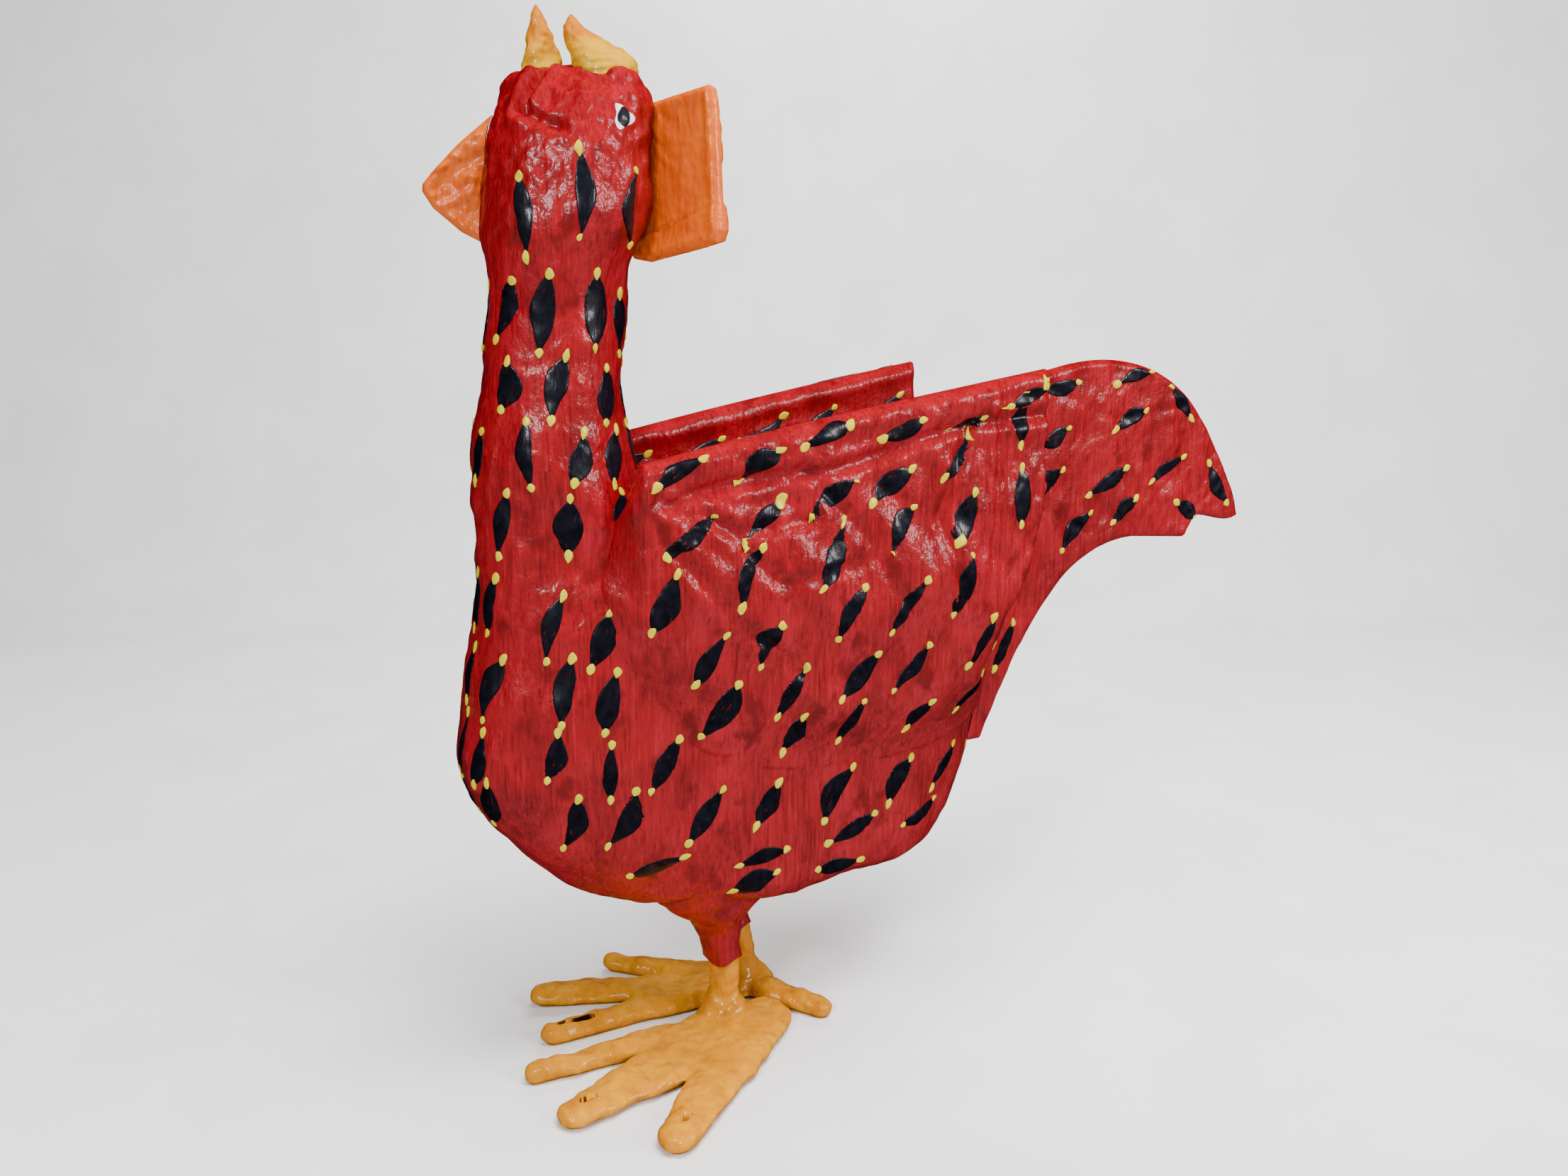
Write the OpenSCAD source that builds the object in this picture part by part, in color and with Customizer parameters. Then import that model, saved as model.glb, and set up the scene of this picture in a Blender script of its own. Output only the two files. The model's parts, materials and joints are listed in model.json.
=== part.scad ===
// Papier-mache alebrije: a horned, eared bird figure standing on two wire-toed feet.
// The figure faces -Y, its left side is +X, and the floor is z = 0.
// Lengths are in millimetres. Places are given in the stance frame, whose origin is on the
// floor midway between the ankles; place() moves them so that the box of the whole figure
// is centred over the origin.

/* [Body] */
// Foremost point of the chest
chest_y = -45.3; // [-46:0.1:-45]
// Height of the flat back, between the wings
back_z = 85; // [84.5:0.1:86]
// Thickness of a pasted paper skin
skin_t = 1.2; // [1.1:0.05:1.3]
// Thickness of the folded card
card_t = 0.9; // [0.7:0.1:1]

/* [Neck and head] */
// Radius of the rolled card tube in the neck
tube_r = 6.9; // [6.5:0.1:6.9]
// Place of the tube along the body
tube_y = -28.3; // [-28.5:0.1:-28]
// Height where the neck ends and the head begins
chin_z = 124; // [123.5:0.1:124.5]
// Radius of the card sleeve in the head
sleeve_r = 9.6; // [9.3:0.1:9.6]
// How far the head is turned to the figure's left
head_turn = 45; // [40:1:50]

/* [Horns] */
// Height of the tip of the right horn, the top of the figure
total_h = 159; // [157:0.5:161]
// Height of the tip of the left horn
low_horn_h = 156.6; // [154:0.5:158]

/* [Tail] */
// Rearmost point of the tail
tail_y = 108.7; // [107.5:0.1:110]
// Thickness of the tail with its paper on
tail_t = 3.2; // [2.8:0.1:3.6]

/* [Legs and feet] */
// Diameter of the leg wires
leg_wire_d = 1.6; // [1.4:0.1:1.7]
// Diameter of the wires that loop round the toes
toe_wire_d = 1; // [0.8:0.1:1]
// Thickness of the feet
foot_t = 3; // [2.8:0.1:3.2]
// Height where the red thigh meets the yellow shank
knee_z = 13.5; // [13:0.1:14]

/* [Hidden] */

gap = 0.05;
// How much fatter a bend in a wire is than the wire
knuckle = 1.08;
ring_points = 28;
round_fn = 48;

// Tips of the outer toes, which set the width of the figure
left_tip = [31, -24];
left_tip_r = 3.2;
right_tip = [-21, -15.5];
right_tip_r = 1.8;
mid_x = (left_tip[0] + left_tip_r + right_tip[0] - right_tip_r) / 2;
mid_y = (chest_y + tail_y) / 2;

// Ankles, knees and hips
left_hip = [5, -7, 24.9];
left_knee = [5, -5.6, knee_z];
left_ankle = [5, -5.2, foot_t];
right_hip = [-5, -3.5, 24.9];
right_knee = [-5, 1, knee_z];
right_ankle = [-5, 2.6, foot_t];
wire_z = foot_t / 2;
floor_wire_z = 31;

// Head and crown
head_c = [0, -26];
crown_z = 149.5;
sleeve_c = [0, -26.6];
sleeve_foot_z = 127;
sleeve_top_z = 147.6;

// A compass direction in the plan: 0 is straight ahead (-Y), 90 is the figure's left (+X)
function heading(a) = [sin(a), -cos(a)];

// One closed ring of points at height z: a rounded oblong, a wide, b deep, of squareness p
function ring(c, z, a, b, turn = 0, p = 2) = [
    for (i = [0 : ring_points - 1])
        let (t = 360 * i / ring_points,
             x = a * sign(cos(t)) * pow(abs(cos(t)), 2 / p),
             y = b * sign(sin(t)) * pow(abs(sin(t)), 2 / p))
            [c[0] + x * cos(turn) - y * sin(turn), c[1] + x * sin(turn) + y * cos(turn), z]];

function walls(n, m, wrap) = [
    for (j = [0 : m - (wrap ? 1 : 2)])
        for (i = [0 : n - 1])
            let (k = (i + 1) % n, up = (j + 1) % m)
                each [[j * n + i, up * n + i, up * n + k],
                      [j * n + i, up * n + k, j * n + k]]];

// A closed solid through rings, flat at both ends
module loft(rings) {
    n = len(rings[0]);
    m = len(rings);
    foot = [for (i = [0 : n - 1]) i];
    head = [for (i = [n - 1 : -1 : 0]) (m - 1) * n + i];
    polyhedron([for (r = rings) each r], concat(walls(n, m, false), [foot, head]));
}

// A closed wall through rings that go up the outside and come back down the inside
module loft_wall(rings) {
    polyhedron([for (r = rings) each r], walls(len(rings[0]), len(rings), true));
}

// Points along a smooth bow from a to d, pulled towards b and then c
function bow(a, b, c, d, n = 8) = [
    for (i = [0 : n])
        let (t = i / n, s = 1 - t)
            s * s * s * a + 3 * s * s * t * b + 3 * s * t * t * c + t * t * t * d];

module place() {
    translate([-mid_x, -mid_y, 0]) children();
}

// An upright plate: the outline's first number runs along +Y, its second along +Z
module upright(t) {
    translate([-t / 2, 0, 0]) rotate([90, 0, 90]) linear_extrude(t) children();
}

// A straight round limb from p to q
module limb(p, q, rp, rq) {
    d = q - p;
    translate(p)
        rotate([0, acos(d[2] / norm(d)), atan2(d[1], d[0])])
            cylinder(h = norm(d), r1 = rp, r2 = rq, $fn = round_fn);
}

// A wire through a list of points, with ball corners
module wire(points, r) {
    for (i = [0 : len(points) - 2]) limb(points[i], points[i + 1], r, r);
    for (i = [1 : 1 : len(points) - 2]) translate(points[i]) sphere(r * knuckle, $fn = 24);
}

// A long closed loop of wire lying flat between two places, g from its centre line
module wire_loop(p, q, g, r) {
    d = q - p;
    translate([p[0], p[1], wire_z])
        rotate([0, 0, atan2(d[1], d[0])]) {
            for (s = [-1, 1])
                translate([0, s * g, 0]) rotate([0, 90, 0]) cylinder(h = norm(d), r = r, $fn = 24);
            translate([norm(d), 0, 0]) rotate([0, 0, -90])
                rotate_extrude(angle = 180, $fn = 32) translate([g, 0]) circle(r, $fn = 24);
            rotate([0, 0, 90])
                rotate_extrude(angle = 180, $fn = 32) translate([g, 0]) circle(r, $fn = 24);
        }
}

// ---------------------------------------------------------------- body

// Rings of the body: height, foremost y, rearmost y, half width
body_rings = [
    [25, -13, 28, 8], [27, -20, 34, 11.5], [31, -29, 38, 13], [36, -36, 40.5, 14],
    [42, -42, 42.5, 14.5], [50, chest_y, 44.5, 15], [60, -44, 46, 15],
    [72, -42.5, 47, 15], [back_z, -41, 47, 15]];
body_square = 2.6;

function body_ring(s, inset, z) =
    ring([0, (s[1] + s[2]) / 2], z, s[3] - inset, (s[2] - s[1]) / 2 - inset, 0, body_square);

// The whole body as one block, grown by a little, for cutting what is glued to it
module body_form(grown) {
    top = body_rings[len(body_rings) - 1];
    loft(concat([for (s = body_rings) body_ring(s, -grown, s[0])],
                [body_ring(top, -grown, back_z + grown)]));
}

carton_side = [
    [-38.8, 83.5], [-41.8, 60], [-42.4, 50], [-39.2, 42], [-32, 35.2], [-21, 29.5],
    [29, 29.5], [36, 34.5], [39.5, 42.5], [43.2, 60], [44.2, 83.5]];
carton_plan = [
    [-42.6, 3.5], [-38, 6], [-30, 8.6], [-20, 11.6], [0, 13.2], [20, 12.6], [30, 10.2],
    [36, 7.6], [40, 6], [44.4, 3.2]];
carton_front = [[7.6, 29.4], [11, 35], [13.3, 46], [13.3, 84]];

// The carton's shape, drawn in by an inset on all faces
module carton_form(inset) {
    plan = concat([for (p = carton_plan) [p[1], p[0]]],
                  [for (i = [len(carton_plan) - 1 : -1 : 0]) [-carton_plan[i][1], carton_plan[i][0]]]);
    front = concat(carton_front,
                   [for (i = [len(carton_front) - 1 : -1 : 0]) [-carton_front[i][0], carton_front[i][1]]]);
    intersection() {
        upright(40) offset(delta = -inset) polygon(carton_side);
        linear_extrude(100) offset(delta = -inset) polygon(plan);
        translate([0, 60, 0]) rotate([90, 0, 0]) linear_extrude(120)
            offset(delta = -inset) polygon(front);
    }
}

tab_z = [58, 76];
module tail_tab(extra) {
    translate([-0.6 - extra, 36 - extra, tab_z[0] - extra])
        cube([1.2 + 2 * extra, 14, tab_z[1] - tab_z[0] + 2 * extra]);
}

module leg_wires_cut(extra) {
    for (side = [-1, 1]) leg_wire(side, leg_wire_d / 2 + extra);
}

module tube_cut(r, z0, z1) {
    translate([0, tube_y, z0]) cylinder(h = z1 - z0, r = r, $fn = round_fn);
}

module body_carton() {
    color("peru") place() difference() {
        carton_form(0);
        carton_form(card_t);
        tube_cut(tube_r + gap, 60, 90);
        tail_tab(gap);
        leg_wires_cut(gap);
    }
}

module body_packing() {
    color("gainsboro") place() difference() {
        intersection() {
            carton_form(card_t + gap);
            translate([-20, tube_y + tube_r + 0.4, floor_wire_z + 1.3]) cube([40, 80, 50]);
        }
        tail_tab(gap);
    }
}

module body_skin() {
    outer = [for (s = body_rings) body_ring(s, 0, s[0])];
    inner = [for (i = [len(body_rings) - 1 : -1 : 0])
        body_ring(body_rings[i], skin_t, i == len(body_rings) - 1 ? back_z : body_rings[i][0] + skin_t)];
    color("crimson") place() difference() {
        loft(concat(outer, inner));
        carton_form(-gap);
        tail_tab(gap);
        leg_wires_cut(gap);
    }
}

module back_skin() {
    top = body_rings[len(body_rings) - 1];
    color("firebrick") place() difference() {
        loft([body_ring(top, skin_t + gap, 83.6), body_ring(top, skin_t + gap, back_z)]);
        tube_cut(tube_r + gap, 80, 90);
    }
}

// ---------------------------------------------------------------- neck

module neck_tube() {
    color("tan") place() difference() {
        tube_cut(tube_r, 40, 130);
        tube_cut(tube_r - card_t, 39, 131);
    }
}

module neck_packing() {
    color("gainsboro") place() tube_cut(tube_r - card_t - gap, 41, 129.5);
}

module neck_tape() {
    color("khaki") place() difference() {
        tube_cut(tube_r + 0.4, chin_z - 5, chin_z - 1);
        tube_cut(tube_r + gap, chin_z - 6, chin_z);
    }
}

// Rings of the neck: height, y of the centre, half width, half depth
neck_rings = [
    [back_z + gap, -27, 11.5, 14], [91, -29, 10.5, 12], [97, -29.5, 10, 11],
    [106, -29.5, 9.5, 9.5], [116, -28.5, 9, 9.5], [chin_z, -28, 9.5, 9.5]];

module neck_skin() {
    outer = [for (s = neck_rings) ring([0, s[1]], s[0], s[2], s[3])];
    inner = [for (z = [chin_z, back_z + gap]) ring([0, tube_y], z, tube_r + 0.25, tube_r + 0.25)];
    color("crimson") place() difference() {
        loft_wall(concat(outer, inner));
        tube_cut(tube_r + 0.45, chin_z - 5.1, chin_z - 0.9);
    }
}

// ---------------------------------------------------------------- head

// Rings of the sleeve's outside: height, half width, half depth
sleeve_rings = [
    [sleeve_foot_z, sleeve_r, sleeve_r], [139, sleeve_r, sleeve_r], [144, 9.2, 6.8], [sleeve_top_z, 8, 2.3]];

function sleeve_ring(s, inset) = ring(sleeve_c + [0, (s[0] - sleeve_foot_z) / 14], s[0],
                                      s[1] - inset, s[2] - inset, head_turn);

module head_sleeve() {
    outer = [for (s = sleeve_rings) sleeve_ring(s, 0)];
    inner = [for (i = [len(sleeve_rings) - 1 : -1 : 0]) sleeve_ring(sleeve_rings[i], card_t)];
    color("tan") place() difference() {
        loft_wall(concat(outer, inner));
        ear_tabs(gap);
    }
}

module head_packing() {
    color("gainsboro") place() difference() {
        loft([for (s = [[130.2, 8.2, 8.2], [139, 8.2, 8.2], [143.6, 7.8, 5.6]]) sleeve_ring(s, 0)]);
        ear_tabs(gap);
    }
}

// Rings of the head's outside: height, centre y, half width, half depth
head_rings = [
    [chin_z + gap, -28, 9.5, 9.5], [127, -27, 11, 11], [131, -26, 11.5, 11.5],
    [139, -25.5, 11.5, 10.5], [144, -25, 11, 8.5], [147, -25, 10.5, 6],
    [crown_z, -25, 9, 3]];

module head_skin() {
    room = [for (i = [len(sleeve_rings) - 1 : -1 : 0])
        ring(sleeve_c + [0, (sleeve_rings[i][0] - sleeve_foot_z) / 14],
             sleeve_rings[i][0] + (i == 0 ? -gap : gap),
             sleeve_rings[i][1] + gap, sleeve_rings[i][2] + gap, head_turn)];
    throat = [for (z = [sleeve_foot_z - 2 * gap, chin_z + gap])
        ring([0, tube_y], z, tube_r + 0.25, tube_r + 0.25, head_turn)];
    outer = [for (s = head_rings) ring([0, s[1]], s[0], s[2], s[3], head_turn)];
    color("crimson") place() difference() {
        loft(concat(room, throat, outer));
        ear_tabs(gap);
    }
}

// ---------------------------------------------------------------- ears

// Each ear leaves the head at one heading and points along another
ear_root_a = 116;
ear_lean_a = 70;
ear_l = 14.5;
left_ear = [
    [-1, 146.5], [12, 147], [13.5, 140], [13.5, 131], [ear_l, 127.5], [13.5, 126.5],
    [5, 125], [-1, 124]];
right_ear = [
    [-1, 146.5], [4, 145], [9, 141], [ear_l, 135], [13, 132], [9, 128.5], [4, 126], [-1, 124.5]];
ear_tab = [[-3.6, 131], [-3.6, 141], [1, 141], [1, 131]];

// The upright plane of one ear: side 1 is the left ear, side -1 the right one
module ear_plane(side) {
    root = head_c + head_rings[2][2] * heading(head_turn + side * ear_root_a);
    translate([root[0], root[1], 0]) rotate([0, 0, head_turn + side * ear_lean_a - 180]) children();
}

module ear_tabs(extra) {
    for (side = [-1, 1])
        ear_plane(side) upright(0.8 + 2 * extra) offset(delta = extra) polygon(ear_tab);
}

module head_round(r) {
    translate([head_c[0], head_c[1], 118]) cylinder(h = 34, r = r, $fn = round_fn);
}

module ear_card(side, outline) {
    color("tan") place() union() {
        ear_plane(side) upright(0.8) offset(delta = -1.1) polygon(outline);
        ear_plane(side) upright(0.8) polygon(ear_tab);
    }
}

module ear_skin(side, outline) {
    color("darkorange") place() difference() {
        ear_plane(side) upright(2.2) polygon(outline);
        head_round(head_rings[2][2] + 0.3);
        ear_plane(side) upright(0.8 + 2 * gap) offset(delta = gap - 1.1) polygon(outline);
        ear_tabs(gap);
    }
}

module ear_card_left() { ear_card(1, left_ear); }
module ear_card_right() { ear_card(-1, right_ear); }
module ear_skin_left() { ear_skin(1, left_ear); }
module ear_skin_right() { ear_skin(-1, right_ear); }

// ---------------------------------------------------------------- horns

// Foot, tip and foot radius of each horn's skin
left_horn = [[3.5, -21.5, crown_z + gap], [1.5, -25, low_horn_h], 4.2];
right_horn = [[-3.5, -28, crown_z + gap], [-4, -28.5, total_h], 3];
horn_tip_r = 0.7;

module horn_cone(h) {
    inset = [0, 0, 1.4];
    color("tan") place() difference() {
        limb(h[0] + [0, 0, gap], h[1] - inset, h[2] - 0.9, 0.45);
        limb(h[0] - [0, 0, 0.1], h[1] - 2 * inset, h[2] - 1.5, 0.1);
        translate([-20, -60, crown_z - 5]) cube([40, 60, 5 + 2 * gap]);
    }
}

module horn_skin(h) {
    color("gold") place() difference() {
        union() {
            limb(h[0], h[1] - [0, 0, horn_tip_r], h[2], horn_tip_r);
            translate(h[1] - [0, 0, horn_tip_r * knuckle]) sphere(horn_tip_r * knuckle, $fn = 24);
        }
        limb(h[0] + [0, 0, gap], h[1] - [0, 0, 1.35], h[2] - 0.85, 0.5);
        translate([-20, -60, crown_z - 5]) cube([40, 60, 5 + gap]);
    }
}

module horn_cone_left() { horn_cone(left_horn); }
module horn_cone_right() { horn_cone(right_horn); }
module horn_skin_left() { horn_skin(left_horn); }
module horn_skin_right() { horn_skin(right_horn); }

// ---------------------------------------------------------------- wings

wing_front = [15.3, -22];
wing_lean = -3.6;
wing_t = 3.4;
wing_outline = concat(
    [[-22, 82], [-21, 96], [44, 108], [44.5, 92]],
    bow([44.5, 90], [44, 70], [30, 61], [12, 60]),
    bow([10, 60], [-8, 60], [-22, 68], [-22, 80]));

// The plane of one wing: it stands beside the body and flares out a little towards the tail
module wing_plane(side) {
    mirror([side < 0 ? 1 : 0, 0, 0])
        translate([wing_front[0], wing_front[1], 0])
            rotate([0, 0, wing_lean])
                translate([0, -wing_front[1], 0])
                    children();
}

module wing_card(side) {
    color("tan") place()
        wing_plane(side) upright(card_t) offset(delta = -1.2) polygon(wing_outline);
}

module wing_skin(side) {
    color("crimson") place() difference() {
        wing_plane(side) upright(wing_t) polygon(wing_outline);
        wing_plane(side) upright(card_t + 2 * gap) offset(delta = gap - 1.2) polygon(wing_outline);
        body_form(gap);
    }
}

module wing_card_left() { wing_card(1); }
module wing_card_right() { wing_card(-1); }
module wing_skin_left() { wing_skin(1); }
module wing_skin_right() { wing_skin(-1); }

// ---------------------------------------------------------------- tail

tail_outline = concat(
    [[42, 43], [42, 60], [46, 86], [50, 104], [60, 107]],
    bow([76, 109], [90, 109], [102, 96], [tail_y, 78]),
    [[107, 77], [97, 79], [95, 75]],
    bow([82, 76], [64, 76], [56, 58], [48, 41]));

module tail_card() {
    color("tan") place() union() {
        difference() {
            upright(1.2) offset(delta = -1.2) polygon(tail_outline);
            body_form(2 * gap);
        }
        upright(1.2) polygon([[36.2, tab_z[0]], [36.2, tab_z[1]], [49, tab_z[1]], [49, tab_z[0]]]);
    }
}

module tail_skin() {
    color("crimson") place() difference() {
        upright(tail_t) polygon(tail_outline);
        upright(1.2 + 2 * gap) offset(delta = gap - 1.2) polygon(tail_outline);
        tail_tab(gap);
        body_form(gap);
    }
}

// ---------------------------------------------------------------- legs

// Each leg wire hooks back along the carton's floor, drops through it and ends in the foot
module leg_wire(side, r) {
    hip = side > 0 ? left_hip : right_hip;
    knee = side > 0 ? left_knee : right_knee;
    ankle = side > 0 ? left_ankle : right_ankle;
    wire([[hip[0], hip[1] + 14, floor_wire_z + 0.3], [hip[0], hip[1], floor_wire_z + 0.3],
          knee, [ankle[0], ankle[1], wire_z]], r);
}

module leg_wire_left() { color("silver") place() leg_wire(1, leg_wire_d / 2); }
module leg_wire_right() { color("silver") place() leg_wire(-1, leg_wire_d / 2); }

module leg_tape() {
    color("khaki") place()
        translate([-8, -1, floor_wire_z + 0.3 + leg_wire_d / 2 + 0.02]) cube([16, 8, 0.15]);
}

module wrap(p, q, rp, rq, side) {
    place() difference() {
        limb(p, q, rp, rq);
        leg_wire(side, leg_wire_d / 2 + gap);
        translate([-30, -60, q[2] - 0.02]) cube([60, 120, 20]);
        translate([-30, -60, p[2] - 20]) cube([60, 120, 20]);
    }
}

module thigh_wrap_left() { color("crimson") wrap(left_knee + [0, 0, 0.02], left_hip, 3.2, 5.8, 1); }
module thigh_wrap_right() { color("crimson") wrap(right_knee + [0, 0, 0.02], right_hip, 3.2, 5.8, -1); }
module shank_wrap_left() { color("orange") wrap(left_ankle + [0, 0, 0.02], left_knee, 2.8, 2.3, 1); }
module shank_wrap_right() { color("orange") wrap(right_ankle + [0, 0, 0.02], right_knee, 2.8, 2.3, -1); }

// ---------------------------------------------------------------- feet

// Toe wires: root, tip of the loop and half its width
left_toes = [
    [[5.5, -11.5], [6.5, -37], 0.9], [[10, -11.5], [19, -35], 1.7],
    [[13, -6.5], [30, -23], 1.5]];
right_toes = [
    [[-3, -5.5], [-3, -31.5], 1.3], [[-7.5, -5], [-15, -29], 1.5],
    [[-10, -2], [-20.5, -15], 0.75], [[-1.5, 4.5], [9, 10], 0.75]];

module toe_wires(toes, extra) {
    for (t = toes) wire_loop(t[0], t[1], t[2], toe_wire_d / 2 + extra);
}

module toe(p, q, rp, rq) {
    hull() {
        translate(p) circle(rp, $fn = 24);
        translate(q) circle(rq, $fn = 24);
    }
}

// The flat of a foot, with the forks between its toes rounded
module webbed() {
    linear_extrude(foot_t) offset(r = -0.8, $fn = 24) offset(delta = 0.8) children();
}

// A slot through a toe, inside its wire loop
module slot(p, q, r) {
    translate([0, 0, -1]) linear_extrude(foot_t + 2) toe(p, q, r, r);
}

module toe_wires_left() { color("silver") place() toe_wires(left_toes, 0); }
module toe_wires_right() { color("silver") place() toe_wires(right_toes, 0); }

module foot_skin_left() {
    color("orange") place() difference() {
        webbed() {
            toe([6.5, -18], [6.5, -38], 3, 1.8);
            toe([13.5, -20], [19, -35.5], 6, 3);
            toe([19, -11], left_tip, 5, left_tip_r);
            polygon([[2.5, -7], [3.5, -18], [12, -26], [20.5, -19], [24, -13], [14, 1], [9.5, 6],
                     [7, 6], [3, -1]]);
        }
        toe_wires(left_toes, gap);
        leg_wire(1, leg_wire_d / 2 + gap);
        slot([19, -34.5], [18.5, -33], 0.8);
        slot([30, -23], [29, -22], 0.7);
    }
}

module foot_skin_right() {
    color("orange") place() difference() {
        webbed() {
            toe([-3.5, -14], [-3, -32], 3, 2.2);
            toe([-9, -12], [-15.5, -29.5], 4.5, 3);
            toe([-8, -1], right_tip, 3.5, right_tip_r);
            toe([-2.5, 3.5], [9.5, 10.5], 3, 1.6);
            polygon([[-1, 4.5], [-1.5, -11.5], [-3.5, -18], [-10.5, -16], [-12, -8.5], [-9.5, 3],
                     [-5.5, 6]]);
        }
        toe_wires(right_toes, gap);
        leg_wire(-1, leg_wire_d / 2 + gap);
        slot([-3, -31], [-3, -26], 0.7);
    }
}

neck_tube();
neck_packing();
neck_tape();
head_sleeve();
head_packing();
body_carton();
body_packing();
leg_wire_left();
leg_wire_right();
leg_tape();
toe_wires_left();
toe_wires_right();
tail_card();
wing_card_left();
wing_card_right();
ear_card_left();
ear_card_right();
horn_cone_left();
horn_cone_right();
head_skin();
neck_skin();
body_skin();
back_skin();
tail_skin();
wing_skin_left();
wing_skin_right();
ear_skin_left();
ear_skin_right();
horn_skin_left();
horn_skin_right();
thigh_wrap_left();
thigh_wrap_right();
shank_wrap_left();
shank_wrap_right();
foot_skin_left();
foot_skin_right();
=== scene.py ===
"""Looks of a varnished papier-mache alebrije: a horned, eared bird on wire-toed feet.

Places are written in millimetres in the stance frame: the origin is on the floor midway
between the ankles, the figure faces -Y, its left side is +X and +Z is up. to_part() turns
them into metres in the part's own frame.
"""

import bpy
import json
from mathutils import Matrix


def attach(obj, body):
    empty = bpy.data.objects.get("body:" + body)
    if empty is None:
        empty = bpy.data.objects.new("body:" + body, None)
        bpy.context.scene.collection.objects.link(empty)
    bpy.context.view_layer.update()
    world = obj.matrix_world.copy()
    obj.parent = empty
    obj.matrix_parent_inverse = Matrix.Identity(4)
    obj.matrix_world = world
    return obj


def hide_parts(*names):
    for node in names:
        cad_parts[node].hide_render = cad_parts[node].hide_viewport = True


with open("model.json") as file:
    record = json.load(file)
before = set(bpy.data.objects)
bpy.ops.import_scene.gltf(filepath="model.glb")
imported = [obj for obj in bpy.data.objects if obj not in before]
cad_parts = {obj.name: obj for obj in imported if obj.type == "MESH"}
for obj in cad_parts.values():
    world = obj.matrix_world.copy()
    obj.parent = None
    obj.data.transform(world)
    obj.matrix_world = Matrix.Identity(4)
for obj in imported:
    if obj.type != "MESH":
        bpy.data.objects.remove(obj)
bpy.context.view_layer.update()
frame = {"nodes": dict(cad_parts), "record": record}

import json
import logging
import math
from dataclasses import dataclass, field
from enum import Enum
from typing import Callable, Optional, Sequence

import bmesh
import bpy
import numpy as np
from mathutils import Matrix

LOG = logging.getLogger("alebrije")
MM = 0.001
BODY = "root"
STANCE = np.array([5.7, 31.7, 0.0])
UP = np.array([0.0, 0.0, 1.0])
NECK_AXIS = np.array([0.0, -27.5, 0.0])
HEAD_AXIS = np.array([0.0, -25.0, 0.0])
HEAD_TURN = 45.0


def to_part(points: np.ndarray) -> np.ndarray:
    """Stance-frame millimetres to part-frame metres: less the stance offset, over a thousand."""
    return (np.asarray(points, float) - STANCE) * MM


def heading(angle: float) -> np.ndarray:
    """Compass direction in the plan: 0 is straight ahead (-Y), 90 is the figure's left (+X)."""
    a = math.radians(angle)
    return np.array([math.sin(a), -math.cos(a), 0.0])


def unit(v: np.ndarray) -> np.ndarray:
    """Vectors over their own lengths."""
    return v / np.maximum(np.linalg.norm(v, axis=-1, keepdims=True), 1e-9)


def ease(x: np.ndarray) -> np.ndarray:
    """Smooth step: 3x^2 - 2x^3 with x held between 0 and 1."""
    x = np.clip(x, 0.0, 1.0)
    return x * x * (3.0 - 2.0 * x)


def ripple(points: np.ndarray, size: float, seed: int, waves: int = 26) -> np.ndarray:
    """Smooth uneven relief: a sum of sine waves in random directions.

    Args:
        points: places, (..., 3), in millimetres.
        size: typical length of one swell, in millimetres.
        seed: seed of the random directions.
        waves: how many waves are summed.

    Returns:
        Relief with a spread of about 1, one number for each place.
    """
    rng = np.random.default_rng(seed)
    k = unit(rng.normal(size=(waves, 3))) * (2 * np.pi / size) * rng.uniform(0.6, 1.5, (waves, 1))
    return np.sin(points @ k.T + rng.uniform(0, 2 * np.pi, waves)).sum(-1) / math.sqrt(waves / 2)


def pasted_strips(points: np.ndarray, centres: np.ndarray, seed: int) -> np.ndarray:
    """Relief of torn paper strips: each adds one thickness inside a soft-edged oblong.

    Args:
        points: places, (..., 3), in millimetres.
        centres: centres of the strips, (n, 3).
        seed: seed of the strips' sizes and directions.

    Returns:
        How many strips lie over each place.
    """
    rng = np.random.default_rng(seed)
    total = np.zeros(points.shape[:-1])
    for centre in centres:
        along = unit(rng.normal(size=3))
        across = unit(np.cross(along, rng.normal(size=3)))
        half = rng.uniform(7, 15), rng.uniform(3, 6)
        d = points - centre
        near = ease((9.0 - np.abs(d @ np.cross(along, across))) / 1.5)
        total += (near * ease((half[0] - np.abs(d @ along)) / 0.7)
                  * ease((half[1] - np.abs(d @ across)) / 0.7))
    return total


def path_distance(points: np.ndarray, path: Sequence[Sequence[float]]) -> np.ndarray:
    """Distance from each place to the nearest stretch of a path of straight lines."""
    best = np.full(points.shape[:-1], 1e9)
    for p, q in zip(np.array(path[:-1], float), np.array(path[1:], float)):
        d = q - p
        t = np.clip(((points - p) @ d) / max(d @ d, 1e-9), 0, 1)
        best = np.minimum(best, np.linalg.norm(points - p - t[..., None] * d, axis=-1))
    return best


def fold(distance: np.ndarray, depth: float, width: float) -> np.ndarray:
    """A crease: a groove of that depth with a low ridge on each side of it."""
    x = distance / width
    return depth * (0.45 * np.exp(-((x - 1.9) ** 2)) - np.exp(-x * x))


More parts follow.
